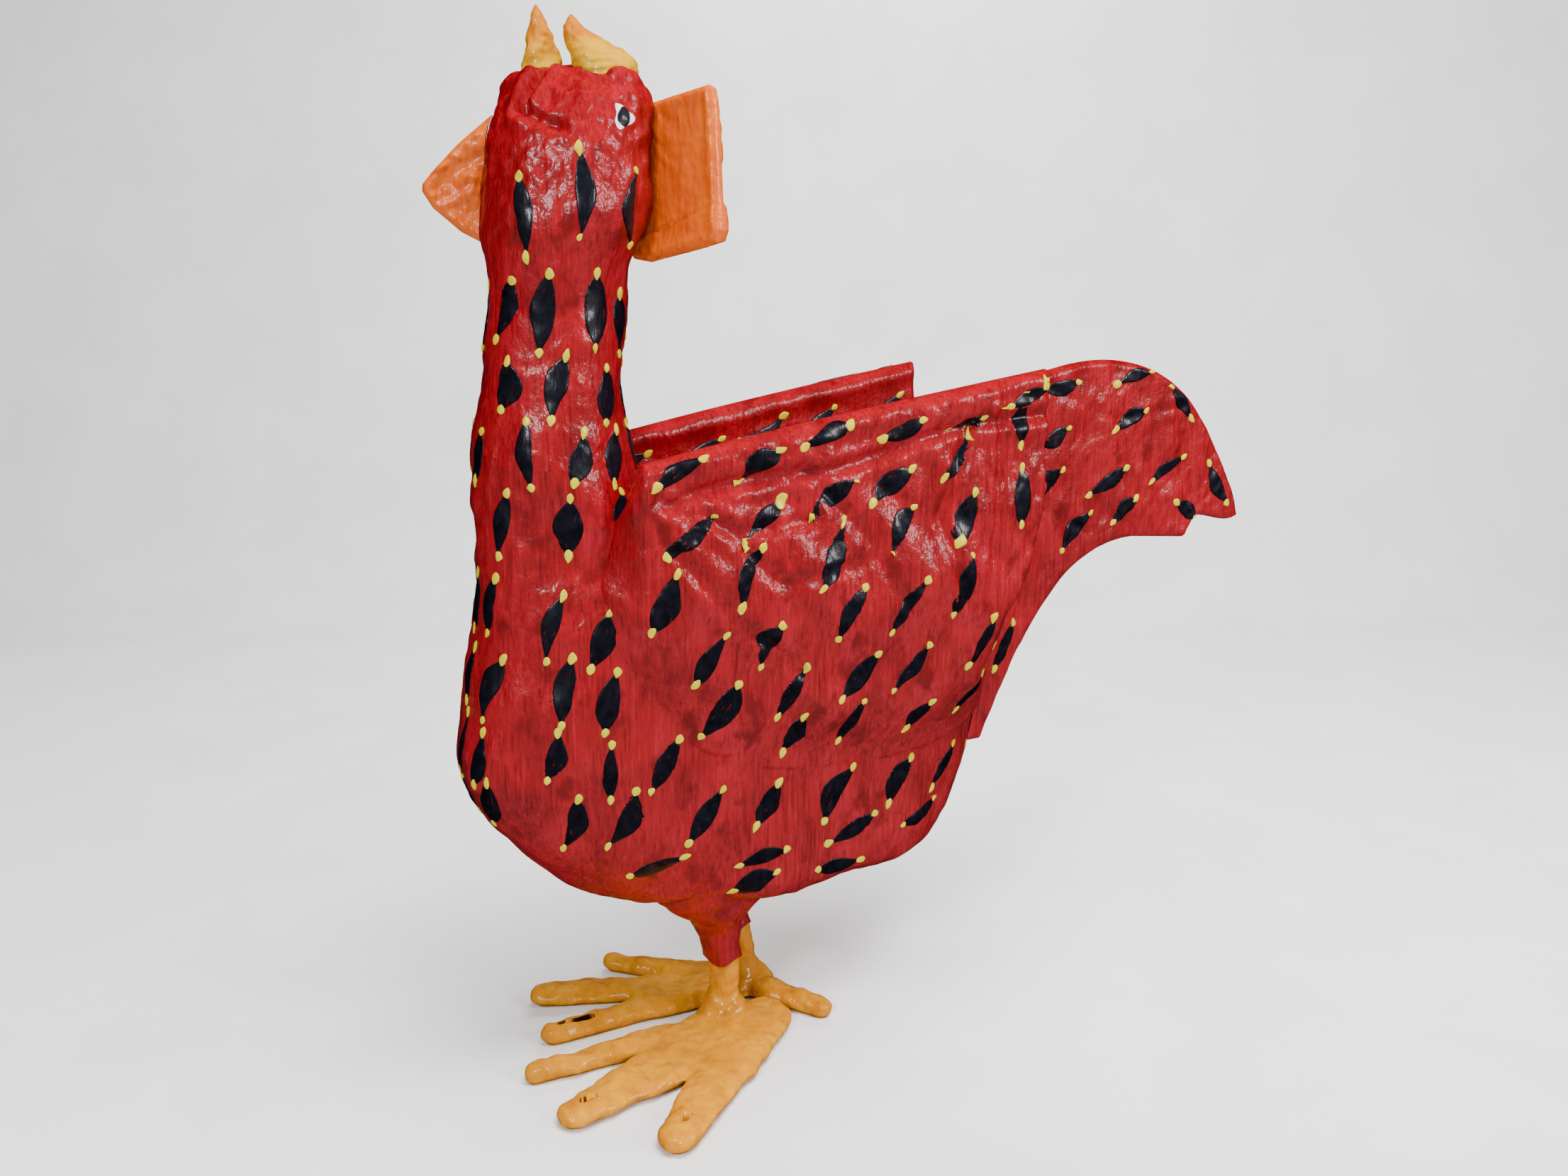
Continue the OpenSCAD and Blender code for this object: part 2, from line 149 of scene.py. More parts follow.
def curve_through(keys: Sequence[Sequence[float]], at: np.ndarray) -> np.ndarray:
    """Smooth curve through rows of keys, a cubic between each pair.

    Args:
        keys: rows, the first number of each being its parameter.
        at: parameters to work the curve out at.

    Returns:
        The rest of the row at each parameter.
    """
    k = np.array(keys, float)
    x, y = k[:, 0], k[:, 1:]
    slope = np.gradient(y, x, axis=0)
    i = np.clip(np.searchsorted(x, at, side="right") - 1, 0, len(x) - 2)
    h = (x[i + 1] - x[i])[:, None]
    t = ((at - x[i]) / (x[i + 1] - x[i]))[:, None]
    return ((2 * t**3 - 3 * t**2 + 1) * y[i] + (t**3 - 2 * t**2 + t) * h * slope[i]
            + (-2 * t**3 + 3 * t**2) * y[i + 1] + (t**3 - t**2) * h * slope[i + 1])


def bow(a: tuple, b: tuple, c: tuple, d: tuple, count: int = 24) -> list:
    """Points along a smooth bow from a to d, pulled towards b and then c (a cubic Bezier)."""
    t = np.linspace(0, 1, count)[:, None]
    pts = ((1 - t)**3 * np.array(a) + 3 * (1 - t)**2 * t * np.array(b)
           + 3 * (1 - t) * t * t * np.array(c) + t**3 * np.array(d))
    return pts.tolist()


def evenly(path: Sequence[Sequence[float]], at: np.ndarray) -> np.ndarray:
    """Places along a path of straight lines, at shares of its whole length."""
    p = np.array(path, float)
    s = np.concatenate([[0], np.cumsum(np.linalg.norm(np.diff(p, axis=0), axis=1))])
    return np.stack([np.interp(at * s[-1], s, p[:, i]) for i in range(p.shape[1])], -1)


def grid_faces(rows: int, cols: int, closed: bool) -> np.ndarray:
    """Corner numbers of the quads of a grid of points, row by row.

    Args:
        rows: number of rows.
        cols: number of points in a row.
        closed: whether each row runs round to its own start.

    Returns:
        Corner numbers, (quads, 4).
    """
    j, i = np.meshgrid(np.arange(rows - 1), np.arange(cols if closed else cols - 1), indexing="ij")
    k = (i + 1) % cols
    return np.stack([j * cols + i, j * cols + k, (j + 1) * cols + k, (j + 1) * cols + i],
                    -1).reshape(-1, 4)


def tube_faces(rows: int, cols: int) -> list:
    """Faces of a closed tube: its quads and a flat cap at each end."""
    ring = np.arange(cols)
    return (grid_faces(rows, cols, True).tolist()
            + [ring[::-1].tolist(), (ring + (rows - 1) * cols).tolist()])


def gathered(shapes: Sequence[tuple]) -> tuple:
    """Places and faces of several shapes as one: each shape's corners count on from the last's."""
    starts = np.cumsum([0] + [len(verts) for verts, _ in shapes]).tolist()
    faces = [[corner + start for corner in face]
             for (_, own), start in zip(shapes, starts) for face in own]
    return np.concatenate([verts for verts, _ in shapes]), faces


def hand(side: int) -> str:
    """The side's name in piece and node names."""
    return "left" if side > 0 else "right"


@dataclass
class Skin:
    """A painted surface as a grid of places and outward directions, for laying paint marks on."""

    points: np.ndarray
    closed: bool
    outward: Optional[np.ndarray] = None

    def __post_init__(self) -> None:
        """Works out the outward directions if they aren't given."""
        if self.outward is None:
            self.outward = self.directions()

    def directions(self) -> np.ndarray:
        """Outward direction at each place: the cross product of the grid's two slopes."""
        p = self.points
        if self.closed:
            du = np.roll(p, -1, 1) - np.roll(p, 1, 1)
        else:
            du = np.gradient(p, axis=1)
        return unit(np.cross(du, np.gradient(p, axis=0)))

    def pushed(self, relief: np.ndarray) -> "Skin":
        """The same skin moved outwards by a relief in millimetres."""
        return Skin(self.points + self.outward * relief[..., None], self.closed)

    def at(self, u: np.ndarray, v: np.ndarray) -> tuple:
        """Place and outward direction between grid points, blended from the nearest four."""
        rows, cols = self.points.shape[:2]
        v = np.clip(v, 0, rows - 1.001)
        if not self.closed:
            u = np.clip(u, 0, cols - 1.001)
        i, j = np.floor(u).astype(int), np.floor(v).astype(int)
        a, b = (u - i)[..., None], (v - j)[..., None]
        i, k = (i % cols, (i + 1) % cols) if self.closed else (i, i + 1)

        def blend(g: np.ndarray) -> np.ndarray:
            """Blend of four neighbours."""
            return ((1 - a) * (1 - b) * g[j, i] + a * (1 - b) * g[j, k]
                    + (1 - a) * b * g[j + 1, i] + a * b * g[j + 1, k])

        return blend(self.points), unit(blend(self.outward))

    def nearest(self, place: np.ndarray) -> tuple:
        """Grid numbers (u, v) of the grid point nearest to a place."""
        d = ((self.points - place) ** 2).sum(-1)
        j, i = np.unravel_index(int(d.argmin()), d.shape)
        return float(i), float(j)

    def slopes(self, u: np.ndarray, v: np.ndarray) -> tuple:
        """Change of place for one grid step in u and in v."""
        return (self.at(u + 0.5, v)[0] - self.at(u - 0.5, v)[0],
                self.at(u, v + 0.5)[0] - self.at(u, v - 0.5)[0])

    def under(self, target: np.ndarray, u: np.ndarray, v: np.ndarray, steps: int = 6) -> tuple:
        """Grid numbers of the skin under places near it.

        Each step solves for the move in u and v that takes the skin's place to the target,
        as far as its two slopes reach.

        Args:
            target: places near the skin.
            u: first guess of the grid numbers along a row.
            v: first guess of the rows.
            steps: how many steps to take.

        Returns:
            Grid numbers (u, v).
        """
        for _ in range(steps):
            here, _ = self.at(u, v)
            eu, ev = self.slopes(u, v)
            d = target - here
            guu, gvv, guv = (eu * eu).sum(-1), (ev * ev).sum(-1), (eu * ev).sum(-1)
            a, b = (eu * d).sum(-1), (ev * d).sum(-1)
            det = np.maximum(guu * gvv - guv * guv, 1e-5)
            u = u + np.clip((a * gvv - b * guv) / det, -9, 9)
            v = np.clip(v + np.clip((b * guu - a * guv) / det, -9, 9), 0, self.points.shape[0] - 1.01)
        return u, v


# ------------------------------------------------------------------ finishes


class Grain(Enum):
    """Which way the brush ran."""

    UPRIGHT = (0.0, 0.0, 0.0)
    RAKED = (0.55, 0.0, 0.0)
    LEVEL = (1.35, 0.0, 0.0)
    FLAT = (1.57, 0.3, 0.4)


class Board:
    """A material's nodes, with short calls for the ones that finishes share."""

    def __init__(self, name: str) -> None:
        """Makes an empty material with a Principled shader."""
        self.material = bpy.data.materials.new(name)
        self.material.use_nodes = True
        self.nodes = self.material.node_tree.nodes
        self.links = self.material.node_tree.links
        self.shader = self.nodes["Principled BSDF"]

    def add(self, kind: str, **settings: object) -> bpy.types.Node:
        """A node with its settings; a setting named for an input sets that input."""
        node = self.nodes.new(kind)
        for key, value in settings.items():
            if hasattr(node, key):
                setattr(node, key, value)
            else:
                node.inputs[key.replace("_", " ")].default_value = value
        return node

    def join(self, out: bpy.types.NodeSocket, to: bpy.types.NodeSocket) -> None:
        """Links two sockets."""
        self.links.new(out, to)

    def noise(self, size_mm: tuple, detail: float = 4.0, turn: Grain = Grain.UPRIGHT,
              rough: float = 0.55, shift: float = 0.0) -> bpy.types.NodeSocket:
        """Noise whose swells have a size of their own along each axis.

        Args:
            size_mm: size of a swell along x, y and z, before the turn.
            detail: octaves of finer noise.
            turn: the way the pattern is turned.
            rough: strength of the finer noise.
            shift: moves the pattern, so that two aren't alike.

        Returns:
            The noise's output, about 0.5.
        """
        place = self.add("ShaderNodeTexCoord")
        mapping = self.add("ShaderNodeMapping")
        mapping.inputs["Rotation"].default_value = turn.value
        mapping.inputs["Location"].default_value = (shift, shift * 0.7, shift * 1.3)
        mapping.inputs["Scale"].default_value = tuple(1.0 / (s * MM) for s in size_mm)
        noise = self.add("ShaderNodeTexNoise", Scale=1.0, Detail=detail, Roughness=rough)
        self.join(place.outputs["Object"], mapping.inputs["Vector"])
        self.join(mapping.outputs["Vector"], noise.inputs["Vector"])
        return noise.outputs["Fac"]

    def ramp(self, source: bpy.types.NodeSocket, stops: Sequence[tuple]) -> bpy.types.NodeSocket:
        """Colour from a number by a ramp of (position, colour) stops."""
        node = self.add("ShaderNodeValToRGB")
        band = node.color_ramp
        while len(band.elements) < len(stops):
            band.elements.new(0.5)
        for element, (at, colour) in zip(band.elements, stops):
            element.position = at
            element.color = (*colour, 1.0)
        self.join(source, node.inputs["Fac"])
        return node.outputs["Color"]

    def mix(self, share: object, a: object, b: object) -> bpy.types.NodeSocket:
        """Two colours mixed by a share; each is a socket, or a plain colour or number."""
        node = self.add("ShaderNodeMix", data_type="RGBA")
        for value, to in zip((share, a, b), (node.inputs[0], node.inputs[6], node.inputs[7])):
            if isinstance(value, bpy.types.NodeSocket):
                self.join(value, to)
            else:
                to.default_value = (*value, 1.0) if isinstance(value, tuple) else value
        return node.outputs[2]

    def bump(self, layers: Sequence[tuple]) -> None:
        """Fine relief on the shader from (height socket, depth in millimetres) layers."""
        before = None
        for source, depth in layers:
            node = self.add("ShaderNodeBump")
            node.inputs["Strength"].default_value = 1.0
            node.inputs["Distance"].default_value = depth * MM
            self.join(source, node.inputs["Height"])
            if before is not None:
                self.join(before, node.inputs["Normal"])
            before = node.outputs["Normal"]
        self.join(before, self.shader.inputs["Normal"])
        self.join(before, self.shader.inputs["Coat Normal"])

    def varnish(self, roughness: float, coat: float, coat_roughness: float) -> None:
        """Sets the gloss on the shader's own sockets."""
        self.shader.inputs["Specular IOR Level"].default_value = 0.2
        self.shader.inputs["Coat IOR"].default_value = 1.45
        self.shader.inputs["Roughness"].default_value = roughness
        self.shader.inputs["Coat Weight"].default_value = coat
        self.shader.inputs["Coat Roughness"].default_value = coat_roughness


@dataclass(frozen=True)
class BrushedPaint:
    """Streaky brushed paint on pulpy paper under varnish."""

    name: str
    dark: tuple
    body: tuple
    light: tuple
    stain: tuple
    grain: Grain = Grain.UPRIGHT
    streak: float = 0.45
    stain_from: float = 0.6
    roughness: float = 0.45
    coat: float = 0.4
    coat_roughness: float = 0.16
    pulp: float = 0.12

    def make(self) -> bpy.types.Material:
        """Fine streaks over broad uneven coverage, patches of a second colour and pulpy relief."""
        b = Board(self.name)
        streak = b.noise((self.streak, self.streak, 7.0), 5.0, self.grain, 0.62)
        cover = b.noise((7.0, 7.0, 12.0), 4.0, self.grain, 0.6, 3.1)
        patch = b.noise((4.5, 4.5, 6.0), 3.0, self.grain, 0.55, 7.7)
        fine = b.ramp(streak, [(0.36, self.dark), (0.47, self.body), (0.54, self.body),
                               (0.66, self.light)])
        broad = b.ramp(cover, [(0.34, self.dark), (0.52, self.body), (0.72, self.light)])
        where = b.ramp(patch, [(self.stain_from, (0, 0, 0)), (self.stain_from + 0.12, (1, 1, 1))])
        colour = b.mix(where, b.mix(0.42, fine, broad), self.stain)
        b.join(colour, b.shader.inputs["Base Color"])
        b.varnish(self.roughness, self.coat, self.coat_roughness)
        b.bump([(b.noise((1.6, 1.6, 2.2), 3.0, self.grain, 0.5, 1.9), self.pulp * 2.2),
                (b.noise((0.6, 0.6, 0.7), 2.0, self.grain, 0.5, 5.3), self.pulp * 0.7),
                (streak, self.pulp * 0.25)])
        return b.material


@dataclass(frozen=True)
class MarkPaint:
    """Thick opaque paint of a brush mark, worn through in streaks along the mark."""

    name: str
    body: tuple
    second: tuple
    wear: Optional[tuple] = None
    roughness: float = 0.4
    coat: float = 0.35

    def make(self) -> bpy.types.Material:
        """Two close tones, with dry streaks that follow the mark's own UV map."""
        b = Board(self.name)
        colour = b.ramp(b.noise((1.2, 1.2, 1.6), 3.0), [(0.35, self.body), (0.7, self.second)])
        if self.wear is not None:
            place = b.add("ShaderNodeUVMap")
            mapping = b.add("ShaderNodeMapping")
            mapping.inputs["Scale"].default_value = (9.0, 1.3, 1.0)
            dry = b.add("ShaderNodeTexNoise", Scale=1.0, Detail=4.0, Roughness=0.65)
            b.join(place.outputs["UV"], mapping.inputs["Vector"])
            b.join(mapping.outputs["Vector"], dry.inputs["Vector"])
            where = b.ramp(dry.outputs["Fac"], [(0.64, (0, 0, 0)), (0.7, (1, 1, 1))])
            colour = b.mix(where, colour, self.wear)
        b.join(colour, b.shader.inputs["Base Color"])
        b.varnish(self.roughness, self.coat, 0.18)
        b.bump([(b.noise((0.5, 0.5, 1.4), 3.0), 0.06)])
        return b.material


@dataclass(frozen=True)
class HornPaint:
    """Yellow ochre at the foot turning to orange at the tip."""

    name: str = "horn_paint"
    foot_z: float = 149.0
    tip_z: float = 158.0

    def make(self) -> bpy.types.Material:
        """Colour by height, made uneven by noise, under thick varnish."""
        b = Board(self.name)
        place = b.add("ShaderNodeTexCoord")
        split = b.add("ShaderNodeSeparateXYZ")
        b.join(place.outputs["Object"], split.inputs[0])
        span = b.add("ShaderNodeMapRange")
        span.inputs["From Min"].default_value = self.foot_z * MM
        span.inputs["From Max"].default_value = self.tip_z * MM
        b.join(split.outputs["Z"], span.inputs["Value"])
        shake = b.add("ShaderNodeMath", operation="MULTIPLY_ADD")
        b.join(b.noise((2.4, 2.4, 2.4), 3.0), shake.inputs[0])
        shake.inputs[1].default_value = 0.7
        b.join(span.outputs["Result"], shake.inputs[2])
        colour = b.ramp(shake.outputs[0], [(0.18, (0.26, 0.15, 0.0005)), (0.36, (0.48, 0.27, 0.0005)),
                                           (0.7, (0.55, 0.25, 0.0005)), (1.0, (0.46, 0.13, 0.0005))])
        b.join(colour, b.shader.inputs["Base Color"])
        b.varnish(0.38, 0.6, 0.12)
        b.bump([(b.noise((1.5, 1.5, 1.9), 3.0), 0.3), (b.noise((0.5, 0.5, 0.5), 2.0), 0.06)])
        return b.material


@dataclass(frozen=True)
class PlainStuff:
    """A bare inner material: card, newsprint, wire or tape."""

    name: str
    low: tuple
    high: tuple
    size_mm: tuple
    roughness: float = 0.8
    metallic: float = 0.0

    def make(self) -> bpy.types.Material:
        """Two tones in a stretched noise, with a little relief."""
        b = Board(self.name)
        grain = b.noise(self.size_mm, 4.0)
        b.join(b.ramp(grain, [(0.35, self.low), (0.65, self.high)]), b.shader.inputs["Base Color"])
        b.shader.inputs["Roughness"].default_value = self.roughness
        b.shader.inputs["Metallic"].default_value = self.metallic
        b.bump([(grain, 0.05)])
        return b.material


class Palette:
    """Every finish of the figure, made once."""

    def __init__(self) -> None:
        """Makes the materials."""
        red = dict(dark=(0.085, 0.0005, 0.002), body=(0.22, 0.0008, 0.004),
                   light=(0.33, 0.0015, 0.014), stain=(0.12, 0.0005, 0.002), stain_from=0.56)
        self.red_up = BrushedPaint("red_paint_upright", **red).make()
        self.red_rake = BrushedPaint("red_paint_raked", grain=Grain.RAKED, **red).make()
        self.red_level = BrushedPaint("red_paint_level", grain=Grain.LEVEL, **red).make()
        self.orange = BrushedPaint(
            "orange_paint", (0.4, 0.04, 0.0005), (0.58, 0.085, 0.0005), (0.66, 0.14, 0.001),
            (0.66, 0.17, 0.004), Grain.UPRIGHT, 0.6, 0.66, 0.45, 0.4, 0.2, 0.11).make()
        self.horn = HornPaint().make()
        self.foot = BrushedPaint(
            "foot_paint", (0.36, 0.13, 0.0003), (0.56, 0.2, 0.0003), (0.62, 0.3, 0.0005),
            (0.3, 0.15, 0.0005), Grain.FLAT, 2.2, 0.7, 0.38, 0.6, 0.12, 0.14).make()
        self.black = MarkPaint("black_paint", (0.0015, 0.0015, 0.004), (0.004, 0.0045, 0.01),
                               (0.2, 0.0015, 0.006)).make()
        self.dot = MarkPaint("dot_paint", (0.42, 0.36, 0.003), (0.56, 0.46, 0.008)).make()
        self.white = MarkPaint("eye_white_paint", (0.62, 0.58, 0.7), (0.75, 0.72, 0.82)).make()
        self.pupil = MarkPaint("eye_black_paint", (0.006, 0.006, 0.008), (0.014, 0.014, 0.018)).make()
        self.inner = {
            "card": PlainStuff("bare_card", (0.3, 0.2, 0.12), (0.42, 0.3, 0.19), (0.4, 6, 0.8)).make(),
            "newsprint": PlainStuff("newsprint", (0.3, 0.3, 0.29), (0.66, 0.65, 0.6),
                                    (1.5, 1.5, 2.5)).make(),
            "wire": PlainStuff("soft_wire", (0.24, 0.24, 0.25), (0.42, 0.42, 0.43),
                               (0.3, 0.3, 3), 0.4, 1.0).make(),
            "tape": PlainStuff("masking_tape", (0.55, 0.45, 0.24), (0.68, 0.58, 0.35),
                               (0.5, 3, 0.5)).make(),
        }


# ------------------------------------------------------------------ making pieces


def loose(name: str, verts: np.ndarray, faces: list) -> bpy.types.Object:
    """An object in the scene that isn't tied to the figure yet, from stance-frame places."""
    mesh = bpy.data.meshes.new(name)
    mesh.from_pydata(to_part(verts).tolist(), [], [list(map(int, f)) for f in faces])
    made = bpy.data.objects.new(name, mesh)
    bpy.context.scene.collection.objects.link(made)
    return made


def piece(name: str, verts: np.ndarray, faces: list, material: bpy.types.Material, slot: str,
          nodes: Sequence[str] = (), normals: Optional[np.ndarray] = None,
          uv: Optional[np.ndarray] = None, recalc: bool = False,
          weld: bool = False) -> bpy.types.Object:
    """Makes a mesh piece, dresses it and ties it to the figure.

    Args:
        name: the piece's name.
        verts: places in stance-frame millimetres, (n, 3).
        faces: corner numbers of each face.
        material: its finish.
        slot: the record's material slot; not used.
        nodes: the nodes it stands for.
        normals: outward direction at each place, where a neighbour carries on the shape.
        uv: a UV pair for each place.
        recalc: whether to turn all faces outwards.
        weld: whether to join places that fall together.

    Returns:
        The new object.
    """
    made = loose(name, verts, faces)
    mesh = made.data
    if uv is not None:
        layer = mesh.uv_layers.new(name="UVMap")
        corner = np.zeros(len(mesh.loops), np.int32)
        mesh.loops.foreach_get("vertex_index", corner)
        layer.data.foreach_set("uv", uv[corner].astype(np.float32).ravel())
    if recalc or weld:
        bm = bmesh.new()
        bm.from_mesh(mesh)
        if weld:
            bmesh.ops.remove_doubles(bm, verts=bm.verts, dist=1e-6)
        bmesh.ops.recalc_face_normals(bm, faces=bm.faces)
        bm.to_mesh(mesh)
        bm.free()
    mesh.polygons.foreach_set("use_smooth", [True] * len(mesh.polygons))
    mesh.materials.append(material)
    mesh.update()
    if normals is not None:
        mesh.normals_split_custom_set_from_vertices(normals.tolist())
    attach(made, BODY)
    if nodes:
        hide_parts(*nodes)
    LOG.info("%s: %d faces", name, len(mesh.polygons))
    return made


def walled(skin: Skin, wall: float, pole_low: bool, pole_high: bool) -> tuple:
    """A closed wall from a skin of closed rows: the skin, its inner side and the rims between.

    Args:
        skin: the outer surface.
        wall: thickness in millimetres.
        pole_low: whether the first row closes to a point.
        pole_high: whether the last row closes to a point.

    Returns:
        Places, faces and outward directions.
    """
    rows, cols = skin.points.shape[:2]
    n = rows * cols
    inner = skin.points - skin.outward * wall
    verts = np.concatenate([skin.points.reshape(-1, 3), inner.reshape(-1, 3)])
    normals = np.concatenate([skin.outward.reshape(-1, 3), -skin.outward.reshape(-1, 3)])
    outer_faces = grid_faces(rows, cols, True)
    faces = outer_faces.tolist() + (outer_faces[:, ::-1] + n).tolist()
    i = np.arange(cols)
    k = (i + 1) % cols
    for row, pole, down in ((0, pole_low, True), (rows - 1, pole_high, False)):
        ring = row * cols
        if pole:
            for base, flip in ((0, down), (n, not down)):
                tip = len(verts)
                verts = np.concatenate([verts, verts[base + ring + i].mean(0)[None]])
                normals = np.concatenate([normals, unit(normals[base + ring + i].mean(0))[None]])
                fan = np.stack([base + ring + (k if flip else i), base + ring + (i if flip else k),
                                np.full(cols, tip)], -1)
                faces += fan.tolist()
        else:
            rim = np.stack([ring + i, ring + k, n + ring + k, n + ring + i], -1)
            faces += (rim[:, ::-1] if down else rim).tolist()
    return verts, faces, normals


# ------------------------------------------------------------------ paint marks


@dataclass(frozen=True)
class Dash:
    """One black brush mark with a dot at each end: where, how long and wide, and its lean."""

    place: tuple
    length: float
    width: float
    lean: float


@dataclass
class Marks:
    """All the paint marks on one skin."""

    skin: Skin
    name: str
    seed: int
    dashes: list = field(default_factory=list)
    proud: float = 0.11
    sunk: float = 0.3
    dot_rise: float = 0.09
    dry_edge: float = 1.9
    stray: float = 0.6
    stray_lean: float = 6.0

    def row(self, start: tuple, end: tuple, count: int, length: float, width: float,
            lean: float) -> None:
        """Adds a row of dashes, evenly apart with a painter's unevenness.

        Args:
            start: place of the first dash.
            end: place of the last dash.
            count: how many.
            length: length of a dash.
            width: width of a dash.
            lean: degrees that its top leans to the rear.
        """
        rng = np.random.default_rng(self.seed + 17 * len(self.dashes))
        for t in np.linspace(0, 1, count):
            place = (1 - t) * np.array(start, float) + t * np.array(end, float)
            self.dashes.append(Dash(tuple(place + rng.normal(0, self.stray, 3)),
                                    length * rng.uniform(0.8, 1.15),
                                    width * rng.uniform(0.85, 1.45),
                                    lean + rng.normal(0, self.stray_lean)))

    def ring(self, height: float, first: float, last: float, count: int, length: float,
             width: float, lean: float = 0.0) -> None:
        """Adds dashes round the neck or head at one height.

        Args:
            height: height of their middles.
            first: compass direction of the first one.
            last: compass direction of the last one.
            count: how many.
            length: length of a dash.
            width: width of a dash.
            lean: degrees that its top leans to the rear.
        """
        for angle in np.linspace(first, last, count):
            place = tuple(NECK_AXIS + height * UP + 13 * heading(angle))
            self.row(place, place, 1, length, width, lean)

    def frames(self) -> tuple:
        """Grid place, place, outward direction and directions along and across of every dash."""
        spots = [self.skin.nearest(np.array(d.place)) for d in self.dashes]
        u, v = np.array([s[0] for s in spots]), np.array([s[1] for s in spots])
        here, out = self.skin.at(u, v)
        rise = unit(UP - out * (out @ UP)[:, None])
        back = -np.cross(out, rise) * np.where(out[:, :1] < -0.25, -1.0, 1.0)
        lean = np.radians([d.lean for d in self.dashes])[:, None]
        along = np.cos(lean) * rise + np.sin(lean) * back
        return u, v, here, along, np.cross(out, along)

    def lens(self, lengths: np.ndarray, half: np.ndarray, middle: np.ndarray, ragged: float,
             seed: int, frames: tuple, lift: float, turns: int = 14, stations: int = 40,
             blunt: float = 0.6) -> tuple:
        """Closed lens-shaped patches on the skin, all worked out together.

        Each is a flat tube: along it the half width is a power of a sine, whose hump is
        shifted to one end, and round it the place runs over the top just above the skin
        and back just under it. The dry end's edges are more uneven.

        Args:
            lengths: length of each patch.
            half: half width of each patch.
            middle: how far along its frame each patch's middle is.
            ragged: unevenness of the edges.
            seed: seed of the unevenness.
            frames: what frames() gives.
            lift: height of the top over the skin.
            turns: points round a patch.
            stations: points along a patch.
            blunt: power of the sine; smaller is blunter.

        Returns:
            Places, faces and UV pairs.
        """
        u, v, here, along, across = frames
        rng = np.random.default_rng(seed)
        s = np.linspace(0.004, 0.996, stations)
        th = np.linspace(0, 2 * np.pi, turns, endpoint=False)
        n = len(lengths)
        slow = rng.normal(size=(n, 6, 2))
        quick = rng.normal(size=(n, stations, 2))
        share = s * 3.99
        k = share.astype(int)
        blend = ease(share - k)[None, :, None]
        dry = rng.choice([0.0, 1.0], (n, 1, 1))
        dryness = np.abs(dry - s[None, :, None]) ** 2
        edge = (slow[:, k] * (1 - blend) + slow[:, k + 1] * blend
                + quick * self.dry_edge * dryness * rng.choice([0.0, 0.3, 1.0], (n, 1, 1)))
        hump = s[None, :] ** rng.uniform(0.75, 1.4, (n, 1))
        width = half[:, None] * np.sin(np.pi * hump) ** rng.uniform(blunt, 1.5 * blunt, (n, 1))
        side = np.cos(th)[None, None, :]
        own_edge = np.where(side > 0, edge[:, :, :1], edge[:, :, 1:])
        off = width[..., None] * side * (1 + ragged * own_edge)
        sway = rng.normal(0, 0.07, (n, 1)) * lengths[:, None] * np.sin(np.pi * s)
        off = off + sway[..., None]
        far = (middle[:, None] + lengths[:, None] * (s - 0.5))[..., None] + 0 * off
        target = (here[:, None, None] + far[..., None] * along[:, None, None]
                  + off[..., None] * across[:, None, None])
        gu, gv = self.skin.under(target, u[:, None, None] + 0 * far, v[:, None, None] + 0 * far)
        place, out = self.skin.at(gu, gv)
        dome = (np.sin(np.pi * s) ** 0.3)[None, :, None]
        top = np.where(np.sin(th) >= 0, lift * np.abs(np.sin(th)) ** 0.6,
                       -self.sunk * np.abs(np.sin(th)))[None, None, :]
        height = 0.02 + top * dome * np.ones_like(off)
        place = place + out * height[..., None]
        base = grid_faces(stations, turns, True)
        faces = (base[None] + (np.arange(n) * stations * turns)[:, None, None]).reshape(-1, 4)
        ends = []
        ring = np.arange(turns)
        for k in range(n):
            low = k * stations * turns
            ends += [(low + ring[::-1]).tolist(), (low + (stations - 1) * turns + ring).tolist()]
        shift = rng.uniform(0, 40, (n, 1, 1))
        uv = np.stack([off * 0.5 + shift, far * 0.35 + shift], -1)
        return place.reshape(-1, 3), faces.tolist() + ends, uv.reshape(-1, 2)

    def make(self, palette: Palette) -> None:
        """Builds the dashes as one piece and their dots as another."""
        frames = self.frames()
        length = np.array([d.length for d in self.dashes])
        width = np.array([d.width for d in self.dashes])
        rng = np.random.default_rng(self.seed + 5)
        v, f, uv = self.lens(length, width / 2, 0 * length, 0.075, self.seed, frames, self.proud)
        piece(self.name + "_dashes", v, f, palette.black, "red_paint", uv=uv, recalc=True)
        dots = []
        for sign in (-1.0, 1.0):
            size = rng.uniform(1.3, 2.2, len(length))
            dots.append(self.lens(size, rng.uniform(0.48, 0.72, len(length)),
                                  sign * (length / 2 + 0.1), 0.05, self.seed + int(sign) + 2,
                                  frames, self.proud + self.dot_rise, 12, 14, 0.5)[:2])
        piece(self.name + "_dots", *gathered(dots), palette.dot, "red_paint", recalc=True)


# ------------------------------------------------------------------ the figure's trunk


